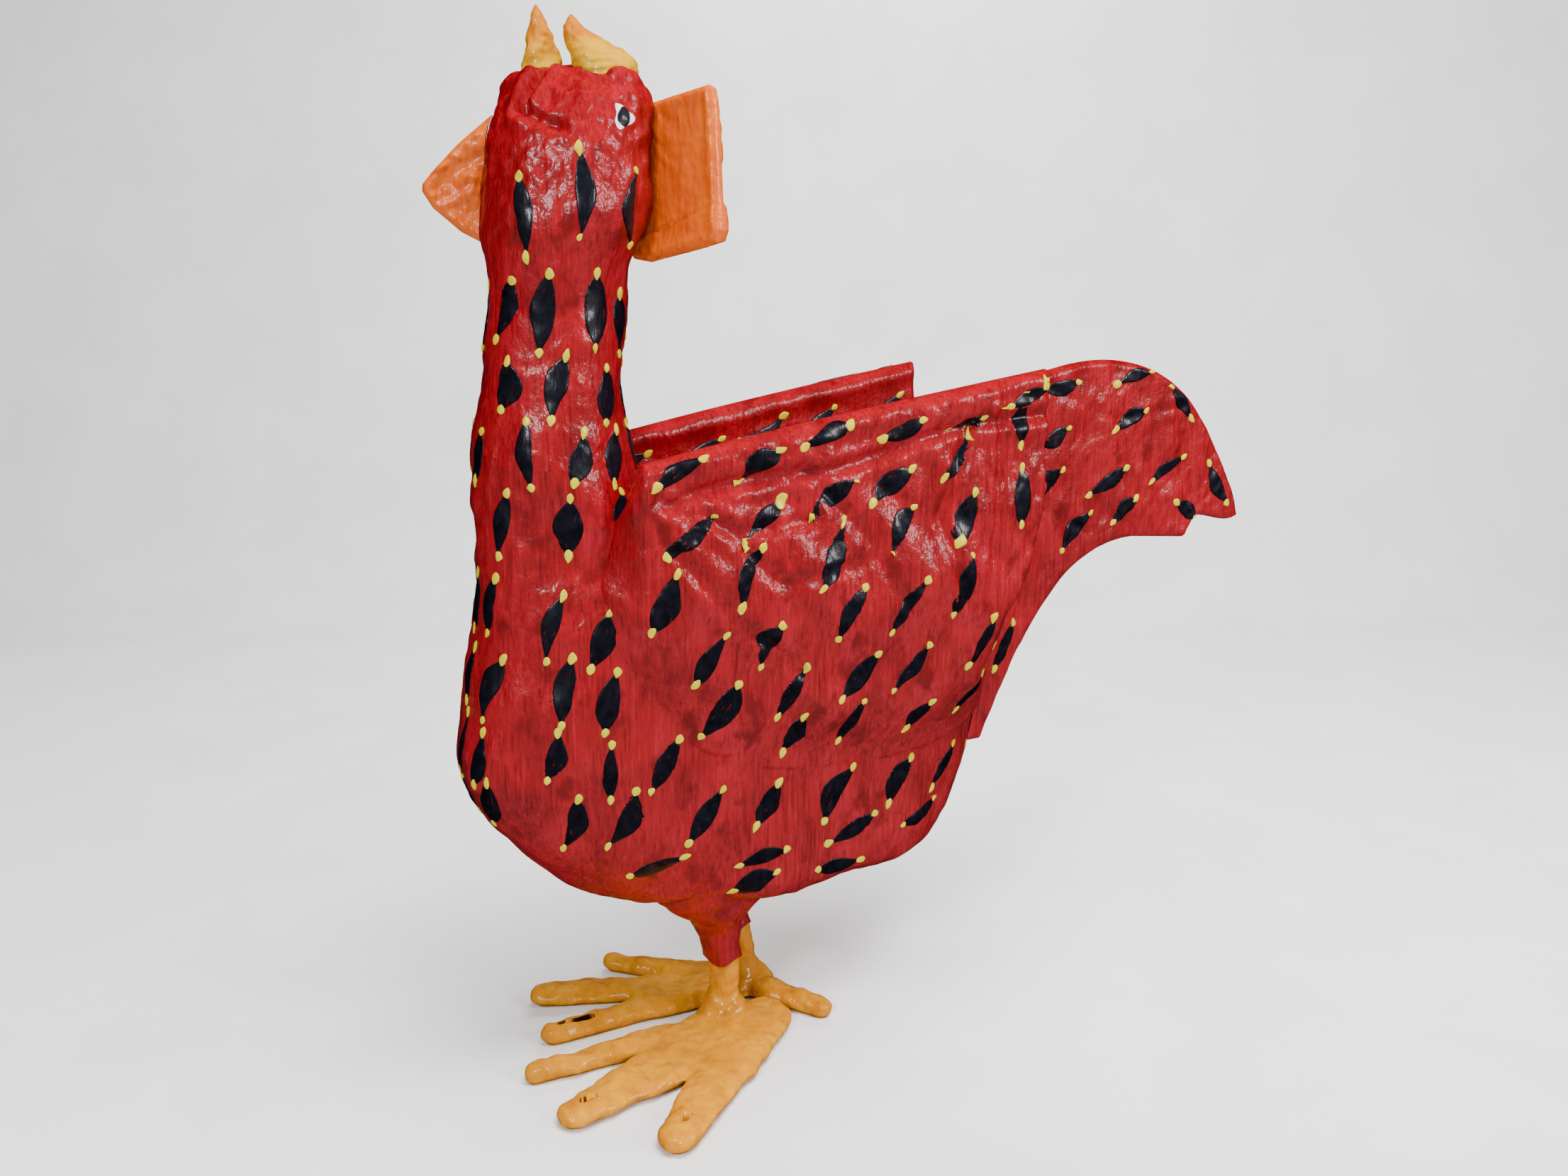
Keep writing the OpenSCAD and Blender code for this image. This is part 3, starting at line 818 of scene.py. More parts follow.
@dataclass
class Trunk:
    """Body, sunken back, neck and head as one skin, cut where the pieces meet."""

    cols: int = 300
    wall: float = 1.0
    shoulder_drop: float = 8.0
    flare: float = 4.5
    build_up: float = 0.25
    deepest: float = 0.45
    body_rows: int = 112
    back_rows: int = 64
    neck_rows: int = 78
    head_rows: int = 92
    # Creases of the head: height, place forward and place across
    pucker: tuple = ((150, -5, -1), (150, 3, -1.5), (146, 7, -2.5), (143.5, 9, -3))
    brow: tuple = ((143.5, 9, -3), (141.5, 10, 1), (141, 10, 4))
    # Height, front y, rear y, half width and squareness of the body
    body_keys: tuple = (
        (24.7, 7, 8, 0.3, 2.0), (24.8, -4, 18, 5.5, 2.1), (25, -17, 29.5, 9.6, 2.4),
        (27, -25, 35.5, 12.6, 2.5), (31, -31, 38.8, 13.5, 2.6), (36, -36.6, 40.6, 14.1, 2.6),
        (42, -42, 42.5, 14.5, 2.6), (50, -45.3, 44.5, 15, 2.6), (60, -44, 46, 15, 2.6),
        (72, -42.5, 47, 15, 2.6), (85, -41, 47, 15, 2.6))
    # Height, centre y, half width and half depth of the neck
    neck_keys: tuple = (
        (91, -29, 10.6, 11.6), (97, -29.4, 10, 10.8), (106, -29.5, 9.5, 9.6),
        (116, -28.5, 9.1, 9.5), (124, -28, 9.5, 9.6))
    # The same for the head, whose oval is turned
    head_keys: tuple = (
        (124, -28, 9.5, 9.6), (127, -27, 11, 11), (131, -26, 11.6, 11.4), (139, -25.5, 11.5, 10.4),
        (144, -25, 11, 8.6), (147, -25, 10.4, 6), (149.4, -25, 8.8, 3.4), (150, -25, 4, 1.6),
        (150.1, -25, 0.3, 0.2))

    def oval(self, cy: np.ndarray, a: np.ndarray, b: np.ndarray, p: np.ndarray,
             turn: float = 0.0) -> np.ndarray:
        """Plan of rounded oblongs: each axis is a signed power 2/p of the cosine or sine."""
        th = np.linspace(0, 2 * np.pi, self.cols, endpoint=False)[None, :]
        r = math.radians(turn)
        c, s = np.cos(th - r), np.sin(th - r)
        x = a[:, None] * np.sign(c) * np.abs(c) ** (2 / p[:, None])
        y = b[:, None] * np.sign(s) * np.abs(s) ** (2 / p[:, None])
        return np.stack([x * math.cos(r) - y * math.sin(r),
                         cy[:, None] + x * math.sin(r) + y * math.cos(r)], -1)

    def along(self, keys: tuple, share: np.ndarray) -> np.ndarray:
        """Smooth rows through keys that are evenly apart, at shares of the whole run."""
        numbered = [(i, *row) for i, row in enumerate(keys)]
        return curve_through(numbered, share * (len(keys) - 1))

    def raised(self, plan: np.ndarray, z: np.ndarray) -> np.ndarray:
        """Plan and heights as places."""
        return np.concatenate([plan, np.broadcast_to(z[..., None], plan.shape[:-1] + (1,))], -1)

    def front_share(self, y: np.ndarray) -> np.ndarray:
        """1 at the chest and shoulders, falling to 0 behind the wings' front edges."""
        return ease((-10.0 - y) / 14.0)

    def shape(self) -> np.ndarray:
        """The whole skin before its relief, belly first: body, back, neck, head."""
        # rows crowd together where the belly turns under
        k = self.along(self.body_keys, np.linspace(0, 1, self.body_rows) ** 0.9)
        plan = self.oval((k[:, 1] + k[:, 2]) / 2, np.maximum(k[:, 3], 0.3),
                         np.maximum((k[:, 2] - k[:, 1]) / 2, 0.3), np.maximum(k[:, 4], 2.0))
        share = self.front_share(plan[-1, :, 1])
        drop = ease((k[:, 0] - 55) / 30)[:, None] * share * self.shoulder_drop
        body = self.raised(plan, k[:, :1] - drop)
        # the back runs in from the body's rim to the foot of the neck
        t = np.linspace(0, 1, self.back_rows + 1)[1:, None]
        first = np.array(self.neck_keys[0], float)[None]
        root = self.oval(first[:, 1], first[:, 2], first[:, 3], np.array([2.0]))[0]
        turn = np.linspace(0, 2 * np.pi, self.cols, endpoint=False)
        z_root = 91.0 + 6.0 * (0.5 - 0.5 * np.sin(turn))
        plan = body[-1][None, :, :2] * (1 - ease(t)[..., None]) + root[None] * ease(t)[..., None]
        z0 = body[-1, :, 2]
        left = np.linalg.norm(plan - root[None], axis=-1)
        whole = np.linalg.norm(body[-1][:, :2] - root, axis=-1) + 1e-6
        least = np.exp(-whole / self.flare)
        climb = (np.exp(-left / self.flare) - least) / (1 - least)
        back = self.raised(plan, z0 + (z_root - z0) * climb
                           - (1 - share) * 0.7 * np.sin(np.pi * t) ** 0.8)
        # the neck, whose first rows still follow the uneven foot
        s = np.linspace(0, 1, self.neck_rows + 1)[1:]
        k = self.along(self.neck_keys, s)
        z = k[:, :1] + (z_root - 91.0) * (1 - ease(s * 1.5))[:, None]
        neck = self.raised(self.oval(k[:, 1], k[:, 2], k[:, 3], np.full(len(k), 2.0)), z)
        k = self.along(self.head_keys, np.linspace(0, 1, self.head_rows + 1)[1:])
        head = self.raised(self.oval(k[:, 1], np.maximum(k[:, 2], 0.2), np.maximum(k[:, 3], 0.15),
                                     np.full(len(k), 2.0), HEAD_TURN), k[:, :1])
        return self.softened(np.concatenate([body, back, neck, head]))

    def softened(self, p: np.ndarray) -> np.ndarray:
        """Rounds the rim, the neck's foot and the chin by averaging each row with its neighbours."""
        row = np.arange(len(p))
        cuts = np.cumsum([self.body_rows, self.back_rows, self.neck_rows])
        share = np.exp(-((row[:, None] - cuts[None, :] + 0.5) / (13.0, 16.0, 9.0)) ** 2).max(1)
        for _ in range(60):
            mean = 0 * p
            mean[1:-1] = (p[2:] + p[:-2]) / 2 - p[1:-1]
            p = p + 0.5 * share[:, None, None] * mean
        return p

    def relief(self, p: np.ndarray) -> np.ndarray:
        """Swells, wrinkles, pasted strips and folds of the whole skin."""
        rng = np.random.default_rng(11)
        flat = p.reshape(-1, 3)
        centres = flat[rng.integers(0, len(flat), 70)]
        r = (0.2 * ripple(p, 24, 1) + 0.13 * ripple(p, 9, 2) + 0.045 * ripple(p, 3.2, 3)
             + 0.11 * pasted_strips(p, centres, 4))
        head = ease((p[..., 2] - 128) / 8)
        r += head * (0.1 * ripple(p, 4, 6) + 0.05 * ripple(p, 1.8, 7))
        # pucker between the horns, running down over the brow
        face, side = heading(HEAD_TURN), heading(HEAD_TURN + 90)
        pucker, brow = ([HEAD_AXIS + z * UP + out * face + across * side
                         for z, out, across in path] for path in (self.pucker, self.brow))
        r += fold(path_distance(p, pucker), 1.3, 1.0) + fold(path_distance(p, brow), 0.5, 0.8)
        for sgn in (-1.0, 1.0):
            crease = [(sgn * 14.5, -25, 90), (sgn * 15, -26, 78), (sgn * 15, -29, 66),
                      (sgn * 14, -33, 57)]
            r += fold(path_distance(p, crease), 0.5, 1.6)
        belly = ease((36 - p[..., 2]) / 8)
        pole = ease((np.hypot(p[..., 0], p[..., 1] - 7.5) - 1.0) / 5)
        crown = ease((149.9 - p[..., 2]) / 1.2)
        # grooves stop short of the wall, except in the thick paper of the head
        r = (self.build_up + np.maximum(r, -self.deepest + 0.15 * np.tanh(r))
             + np.minimum(0, r + self.deepest) * head)
        return r * np.where(belly > 0, np.minimum(1, 0.3 + pole), 1.0) * np.maximum(crown, 0.25)

    def make(self, palette: Palette) -> dict:
        """Builds body, back, neck and head and gives their skins by name."""
        base = Skin(self.shape(), True)
        whole = base.pushed(self.relief(base.points))
        cuts = np.cumsum([0, self.body_rows, self.back_rows, self.neck_rows, self.head_rows])
        plan = (("body", "body_skin", palette.red_rake, True, False),
                ("back", "back_skin", palette.red_level, False, False),
                ("neck", "neck_skin", palette.red_up, False, False),
                ("head", "head_skin", palette.red_up, False, True))
        skins = {"trunk": whole}
        for i, (name, node, paint, low, high) in enumerate(plan):
            a, b = max(cuts[i] - 1, 0), cuts[i + 1]
            part = Skin(whole.points[a:b], True, whole.outward[a:b])
            verts, faces, normals = walled(part, self.wall, low, high)
            piece(name, verts, faces, paint, "red_paint", [node], normals)
            skins[name] = part
        return skins


# ------------------------------------------------------------------ flat panels


@dataclass
class Panel:
    """A stiff folded panel: two faces over one outline, rounded at the edge.

    The outline is ruled between a lower and an upper curve, given in the panel's own plan.
    """

    name: str
    lower: list
    upper: list
    thick: float
    edge: float
    cols: int
    rows: int

    def plan(self) -> tuple:
        """Places in the panel's plan, (rows, cols, 2), and each one's distance from the edge."""
        a = (1 - np.cos(np.linspace(0, np.pi, self.cols))) / 2 * 0.35 \
            + np.linspace(0, 1, self.cols) * 0.65
        b = (1 - np.cos(np.linspace(0, np.pi, self.rows))) / 2
        low, high = evenly(self.lower, a), evenly(self.upper, a)
        q = low[None] * (1 - b)[:, None, None] + high[None] * b[:, None, None]
        outline = np.concatenate([low, high[::-1], low[:1]])
        return q, path_distance(q, outline)

    def rounding(self, distance: np.ndarray) -> np.ndarray:
        """Share of the full thickness: a quarter circle over the edge's width."""
        return np.sqrt(np.maximum(0, 1 - (1 - np.clip(distance / self.edge, 0, 1)) ** 2))

    def build(self, place: Callable, thickness: Callable, paint: bpy.types.Material, slot: str,
              nodes: Sequence[str]) -> tuple:
        """Builds the panel and gives the skins of its two faces.

        Args:
            place: from plan places and a side offset in millimetres to stance places.
            thickness: from plan places and edge distance to the two faces' offsets.
            paint: its finish.
            slot: the record's material slot.
            nodes: the nodes it stands for.

        Returns:
            The skins of the outer and the inner face.
        """
        q, d = self.plan()
        outer, inner = thickness(q, d)
        sides = [place(q, outer), place(q, inner)]
        rows, cols = q.shape[:2]
        verts = np.concatenate([s.reshape(-1, 3) for s in sides])
        base = grid_faces(rows, cols, False)
        faces = base.tolist() + (base[:, ::-1] + rows * cols).tolist()
        piece(self.name, verts, faces, paint, slot, nodes, weld=True)
        skins = []
        for own, other in (sides, sides[::-1]):
            skin = Skin(own, False)
            toward = np.sign((skin.outward * (own - other)).sum())
            skins.append(Skin(own, False, skin.outward * toward))
        return tuple(skins)


@dataclass
class Wing:
    """One raised wing with a rolled rim, a crease under it and a bulging panel."""

    side: int
    front_x: float = 15.3
    lean: float = 0.063
    front_y: float = -22.0
    thick: float = 3.4

    def body_x(self, y: np.ndarray) -> np.ndarray:
        """Half width of the body at a place along it, from its rounded oblong."""
        t = np.clip(np.abs((y - 3.0) / 44.0), 0, 0.999)
        return 15.0 * (1 - t**2.6) ** (1 / 2.6)

    def strips(self) -> np.ndarray:
        """Centres of the pasted paper strips."""
        rng = np.random.default_rng(46)
        return np.stack([np.full(24, self.side * 17.0), rng.uniform(-22, 44, 24),
                         rng.uniform(60, 104, 24)], -1)

    def make(self, palette: Palette) -> tuple:
        """Builds the wing and gives the skins of its two faces."""
        front = [(-27.5, 78.0), (-22.0, 96.0)]
        lower = (bow((-27.5, 78), (-28, 60), (-14, 47), (8, 46))
                 + bow((10, 46), (30, 45), (42, 46), (45, 56))[1:]
                 + [(45.8, 64.0), (46.0, 86.0)])
        card = ([(-21.5, 97.0)] + bow((-21.5, 82), (-21, 68), (-8, 60.4), (10, 60.4))
                + bow((12, 60.4), (30, 61.4), (44, 71), (44, 90))[1:])
        upper = bow((-22, 96), (-2, 100.5), (22, 104.5), (44.8, 108.3))
        shape = Panel("wing_" + hand(self.side), lower, upper, self.thick, 1.5, 170, 84)

        def place(q: np.ndarray, off: np.ndarray) -> np.ndarray:
            """Side offset measured from the figure's middle, mirrored for the right wing."""
            return np.stack([self.side * off, q[..., 0], q[..., 1]], -1)

        def thickness(q: np.ndarray, d: np.ndarray) -> tuple:
            """Middle surface stands on the wing's plane and tucks in to the flank below."""
            y, z = q[..., 0], q[..., 1]
            rim = 99.8 + 0.185 * y
            below = rim - z
            stand = self.front_x + self.lean * (y - self.front_y)
            near_edge = np.minimum(path_distance(q, lower),
                                   path_distance(q, front) + 8 * ease((z - 86) / 8))
            ys, zs = np.array(card).T
            outside = z < np.interp(y, ys, zs, left=200, right=200)
            to_card = np.where(outside & (z < 97), path_distance(q, card), 0.0)
            tuck = ease(near_edge / (near_edge + to_card + 1e-6))
            flank = np.minimum(self.body_x(y), stand) - 1.6
            mid = flank + (stand - flank) * tuck
            at = np.stack([self.side * 17 + 0 * y, y, z], -1)
            bulge = 1.6 * np.exp(-((z - 77) / 10) ** 2) * ease((y + 22) / 12) * ease((46 - y) / 12)
            r = (bulge + 0.3 * ripple(at, 17, 41) + 0.15 * ripple(at, 6, 42)
                 + 0.05 * ripple(at, 2.4, 43) + 0.12 * pasted_strips(at, self.strips(), 45))
            r += fold(np.abs(below - 6.0 - 0.8 * np.sin(y / 6)), 0.8, 1.0) * ease((y + 20) / 6)
            flat = np.stack([0 * y, y, z], -1)
            for path in ([(0, -20, 91), (0, -8, 86), (0, 4, 87)], [(0, 2, 95), (0, 12, 84), (0, 20, 72)],
                         [(0, -18, 84), (0, -10, 74), (0, 2, 64)], [(0, 30, 100), (0, 25, 86), (0, 30, 72)],
                         [(0, -14, 90), (0, -2, 78), (0, 12, 80)]):
                r += fold(path_distance(flat, path), 0.5, 0.9)
            hem = fold(np.abs(y - 35.5 - 0.05 * (z - 90)), 0.5, 0.8) * ease((z - 70) / 8)
            roll = 0.5 * np.exp(-((below - 1.6) / 1.5) ** 2)
            e = shape.rounding(d)
            half = self.thick / 2
            inner_r = 0.12 * ripple(at, 8, 44) + roll
            return mid + e * (half + r + hem + roll), mid - e * (half + inner_r)

        return shape.build(place, thickness, palette.red_rake, "red_paint",
                           ["wing_skin_" + hand(self.side)])


@dataclass
class Tail:
    """The upright fan of the tail, flaring into the body at its root."""

    thick: float = 3.0

    def make(self, palette: Palette) -> tuple:
        """Builds the tail and gives the skins of its left and right faces."""
        upper = ([(38.0, 84.5), (46.0, 88.0), (49.0, 103.0), (52.0, 105.5), (60.0, 107.0)]
                 + bow((62, 107.4), (86, 113), (100, 101), (108.7, 78)))
        lower = ([(37.0, 41.0)] + bow((48.4, 40.8), (56.4, 57.6), (64.2, 75.6), (82, 75.7))
                 + [(95.0, 74.6), (97.2, 78.4)]
                 + bow((97.5, 78.6), (101, 79), (106, 76), (108.7, 78), 8))
        shape = Panel("tail", lower, upper, self.thick, 1.3, 170, 64)

        def thickness(q: np.ndarray, d: np.ndarray) -> tuple:
            """Half the thickness each way, more at the root, with slow waves and wrinkles."""
            y, z = q[..., 0], q[..., 1]
            flare = (4.5 * np.exp(-np.maximum(y - 44, 0) / 3.2) * ease((90 - z) / 10)
                     * ease((z - 45) / 14))
            flat = np.stack([0 * y, y, z], -1)
            sway = 0.25 * ripple(flat, 34, 53)
            r = 0.12 * ripple(flat, 7, 54) + 0.05 * ripple(flat, 2.5, 55)
            for path in ([(0, 52, 98), (0, 58, 84), (0, 70, 78)], [(0, 60, 104), (0, 76, 98), (0, 92, 100)],
                         [(0, 55, 66), (0, 52, 78), (0, 50, 92)]):
                r += fold(path_distance(flat, path), 0.25, 0.8)
            e = shape.rounding(d)
            half = self.thick / 2 + flare
            return sway + e * (half + r), sway - e * (half + r)

        def place(q: np.ndarray, off: np.ndarray) -> np.ndarray:
            """The tail's plan stands in the figure's middle plane."""
            return np.stack([off, q[..., 0], q[..., 1]], -1)

        return shape.build(place, thickness, palette.red_level, "red_paint", ["tail_skin"])


@dataclass
class Ear:
    """A folded card ear with a rolled edge, standing out from the side of the head."""

    side: int
    root_turn: float = 116.0
    lean_turn: float = 70.0
    reach: float = 11.6

    def make(self, palette: Palette) -> None:
        """Builds the ear: the left one is square with a broad folded hem, the right one pointed."""
        if self.side > 0:
            upper = [(-3, 145.0), (0, 145.6), (3, 146), (11.6, 147.1), (12.5, 146.6), (12.9, 145)]
            lower = [(-3, 124.5), (0, 124), (5, 124.9), (9, 125.5), (13.2, 126.3), (13.9, 127.8)]
        else:
            upper = [(-3, 146.4), (-1, 146.5), (4, 145), (9, 141), (13, 137), (14.4, 135.4)]
            lower = [(-3, 125), (-1, 124.6), (4, 126), (9, 128.6), (13, 132), (14.5, 134.4)]
        shape = Panel("ear_" + hand(self.side), lower, upper, 1.7, 0.9, 90, 90)
        root = np.array([0.0, -26.0, 0.0]) + self.reach * heading(HEAD_TURN
                                                                 + self.side * self.root_turn)
        way = heading(HEAD_TURN + self.side * self.lean_turn)
        across = np.cross(UP, way)

        def place(q: np.ndarray, off: np.ndarray) -> np.ndarray:
            """Outwards along the ear's own heading, up, and across it."""
            return root + q[..., :1] * way + q[..., 1:] * UP + off[..., None] * across

        def thickness(q: np.ndarray, d: np.ndarray) -> tuple:
            """Thin in the middle, thick at the rolled edge, with a cupped middle surface."""
            x, z = q[..., 0], q[..., 1]
            flat = np.stack([x, 0 * x, z], -1)
            roll = 0.35 * np.exp(-((d - 1.0) / 0.9) ** 2)
            cup = 0.04 * np.sin((x + z) / 4)
            r = (0.24 * ripple(flat, 6, 63) + 0.08 * ripple(flat, 2, 64)
                 + fold(path_distance(flat, [(0, 0, 142), (5, 0, 137), (12, 0, 139)]), 0.25, 0.7))
            if self.side > 0:
                hem = 127.6 + 0.28 * x
                r += (0.95 * ease((hem + 0.5 - z) / 0.8)
                      - 0.4 * np.exp(-((z - hem - 0.4) / 0.5) ** 2))
            else:
                r += fold(path_distance(flat, [(0, 0, 141), (6, 0, 139), (14, 0, 135)]), 0.4, 0.8)
            e = shape.rounding(d)
            return (cup + e * (0.82 + roll + np.maximum(r, -0.15)),
                    cup - e * (0.82 + roll + 0.4 * np.abs(r)))

        shape.build(place, thickness, palette.orange, "orange_paint",
                    ["ear_skin_" + hand(self.side)])


# ------------------------------------------------------------------ round limbs


def limb(path: Sequence[Sequence[float]], across: Sequence[Sequence[float]], cols: int = 72,
         rows: int = 60) -> Skin:
    """An upright limb: an oval profile carried along a path.

    Args:
        path: keys (height, x, y) of the middle line.
        across: keys (height, half width in x, half width in y).
        cols: points round it.
        rows: rows along it.

    Returns:
        The limb's skin, its rows running upwards.
    """
    z = np.linspace(path[0][0], path[-1][0], rows)
    c, r = curve_through(path, z), curve_through(across, z)
    th = np.linspace(0, 2 * np.pi, cols, endpoint=False)
    x = c[:, :1] + r[:, :1] * np.cos(th)
    y = c[:, 1:] + r[:, 1:] * np.sin(th)
    return Skin(np.stack([x, y, np.broadcast_to(z[:, None], x.shape)], -1), True)


@dataclass
class Horn:
    """A lumpy paper horn that flares on to the crown."""

    name: str
    node: str
    path: tuple
    across: tuple
    seed: int

    def make(self, palette: Palette) -> None:
        """Builds the horn, closed at the tip."""
        skin = limb(self.path, self.across, 64, 56)
        p = skin.points
        fade = ease((self.path[-1][0] - p[..., 2]) / 2.0)
        lumps = 0.12 * ripple(p, 3.4, self.seed) + 0.05 * ripple(p, 1.4, self.seed + 1)
        skin = skin.pushed(fade * lumps)
        verts, faces, normals = walled(skin, 0.35, False, True)
        piece(self.name, verts, faces, palette.horn, "horn_paint", [self.node], normals)


@dataclass
class Thigh:
    """A red thigh that narrows from the belly to the knee."""

    side: int
    hip: tuple
    knee: tuple

    def make(self, palette: Palette) -> None:
        """Builds the thigh, flared at the top, with a ragged painted edge at the knee."""
        (hx, hy), (kx, ky) = self.hip, self.knee
        skin = limb([(12.8, kx, ky), (18, (kx + hx) / 2, (ky * 1.2 + hy * 0.8) / 2), (23, hx, hy),
                     (28, hx, hy + 1), (33, hx, hy + 1)],
                    [(12.8, 3.15, 3.2), (15.5, 3.1, 3.3), (18, 3.5, 3.7), (20.3, 4.1, 4.8),
                     (22.6, 5.1, 7.4), (25, 6.2, 10.2), (27.5, 6.9, 12.2), (30, 7.2, 13), (33, 7.2, 13)],
                    96, 90)
        p = skin.points
        round_knee = np.arctan2(p[..., 1] - ky, p[..., 0] - kx)
        rag = ease((15 - p[..., 2]) / 2.2) * 0.45 * np.sin(3 * round_knee)
        skin = Skin(p + rag[..., None] * UP, True)
        skin = skin.pushed(0.14 * ripple(p, 6, 71) + 0.05 * ripple(p, 2.4, 72))
        verts, faces, normals = walled(skin, 0.9, False, False)
        tag = hand(self.side)
        piece("thigh_" + tag, verts, faces, palette.red_up, "red_paint", ["thigh_wrap_" + tag],
              normals)


@dataclass
class Foot:
    """A foot and shank in one: splayed toes, webs and ankle, fused and thickly painted."""

    tag: str
    ankle: tuple
    knee: tuple
    toes: tuple
    palm: tuple
    slots: tuple
    seed: int
    half_height: float = 1.55
    voxel: float = 0.28
    sole: float = 0.3

    def lozenge(self, p: tuple, q: tuple, rp: float, rq: float, high: float) -> tuple:
        """A flat round-ended toe: a capsule's outline squashed to a height, as a grid.

        The first parameter runs from end to end, where the half width is the end's radius
        times the sine of the turn, and the second runs round it.
        """
        p, q = np.array(p, float), np.array(q, float)
        way = unit(q - p)
        side = np.array([-way[1], way[0]])
        n, m = 22, 24
        turn = np.linspace(0.03, np.pi - 0.03, n)
        near = turn < np.pi / 2
        r = np.where(near, rp, rq)
        mid = np.where(near[:, None], p, q) - (r * np.cos(turn))[:, None] * way
        half = r * np.sin(turn)
        th = np.linspace(0, 2 * np.pi, m, endpoint=False)
        squash = np.sin(turn)[:, None] ** 0.55
        xy = mid[:, None, :] + (half[:, None] * np.cos(th))[..., None] * side
        z = self.half_height + high * squash * np.sin(th)
        return np.concatenate([xy, z[..., None]], -1).reshape(-1, 3), tube_faces(n, m)

    def cutter(self, p: tuple, q: tuple, r: float) -> bpy.types.Object:
        """A round-ended upright prism that cuts a slot through a toe."""
        p, q = np.array(p, float), np.array(q, float)
        a = math.atan2(q[1] - p[1], q[0] - p[0])
        th = np.linspace(-np.pi / 2, np.pi / 2, 9)
        ends = [q + r * np.stack([np.cos(th + a), np.sin(th + a)], -1),
                p - r * np.stack([np.cos(th + a), np.sin(th + a)], -1)]
        ring = np.concatenate(ends)
        n = len(ring)
        verts = np.concatenate([np.c_[ring, np.full(n, z)] for z in (-1.0, 6.0)])
        return loose("slot_cutter", verts, tube_faces(2, n))

    def shank(self) -> tuple:
        """The upright shank, flared on to the foot, as a closed tube."""
        ax, ay = self.ankle
        kx, ky = self.knee
        skin = limb([(0.6, ax, ay), (6, ax, ay), (13.6, kx, ky)],
                    [(0.6, 5.2, 6.0), (2.2, 4.2, 5.0), (3.6, 3.3, 3.8), (5.5, 2.7, 2.8),
                     (9, 2.4, 2.4), (13.6, 2.75, 2.75)], 40, 40)
        return skin.points.reshape(-1, 3), tube_faces(*skin.points.shape[:2])

    def fused(self) -> tuple:
        """Toes, palm and shank as one soft skin with its slots cut.

        Returns:
            Places in stance-frame millimetres, outward directions and faces.
        """
        shapes = [self.lozenge(*t, self.half_height) for t in self.toes]
        shapes += [self.lozenge(*t, self.half_height + 0.1) for t in self.palm]
        rough = loose("foot_parts", *gathered([*shapes, self.shank()]))
        fuse = rough.modifiers.new("fuse", "REMESH")
        fuse.mode, fuse.voxel_size = "VOXEL", self.voxel * MM
        soften = rough.modifiers.new("soften", "SMOOTH")
        soften.factor, soften.iterations = 0.5, 7
        cutters = [self.cutter(*s) for s in self.slots]
        for cutter in cutters:
            cut = rough.modifiers.new("cut", "BOOLEAN")
            cut.operation, cut.object, cut.solver = "DIFFERENCE", cutter, "EXACT"
        bpy.context.view_layer.update()
        worked = rough.evaluated_get(bpy.context.evaluated_depsgraph_get())
        mesh = worked.to_mesh()
        found = []
        for kind in ("co", "normal"):
            values = np.zeros(len(mesh.vertices) * 3)
            mesh.vertices.foreach_get(kind, values)
            found.append(values.reshape(-1, 3))
        faces = [list(p.vertices) for p in mesh.polygons]
        worked.to_mesh_clear()
        for spare in [rough, *cutters]:
            bpy.data.objects.remove(spare)
        return found[0] / MM + STANCE, found[1], faces

    def make(self, palette: Palette) -> None:
        """Adds the lumps of thick paint to the fused foot and flattens its sole."""
        p, out, faces = self.fused()
        lumps = 0.15 * ripple(p, 6, self.seed) + 0.07 * ripple(p, 2.4, self.seed + 1)
        p = p + out * (lumps * ease((p[:, 2] - 0.2) / 1.2))[:, None]
        p[:, 2] = np.where(p[:, 2] < self.sole, np.maximum(p[:, 2] - self.sole, 0.0), p[:, 2])
        piece("foot_" + self.tag, p, faces, palette.foot, "foot_paint",
              ["foot_skin_" + self.tag, "shank_wrap_" + self.tag])


# ------------------------------------------------------------------ the face


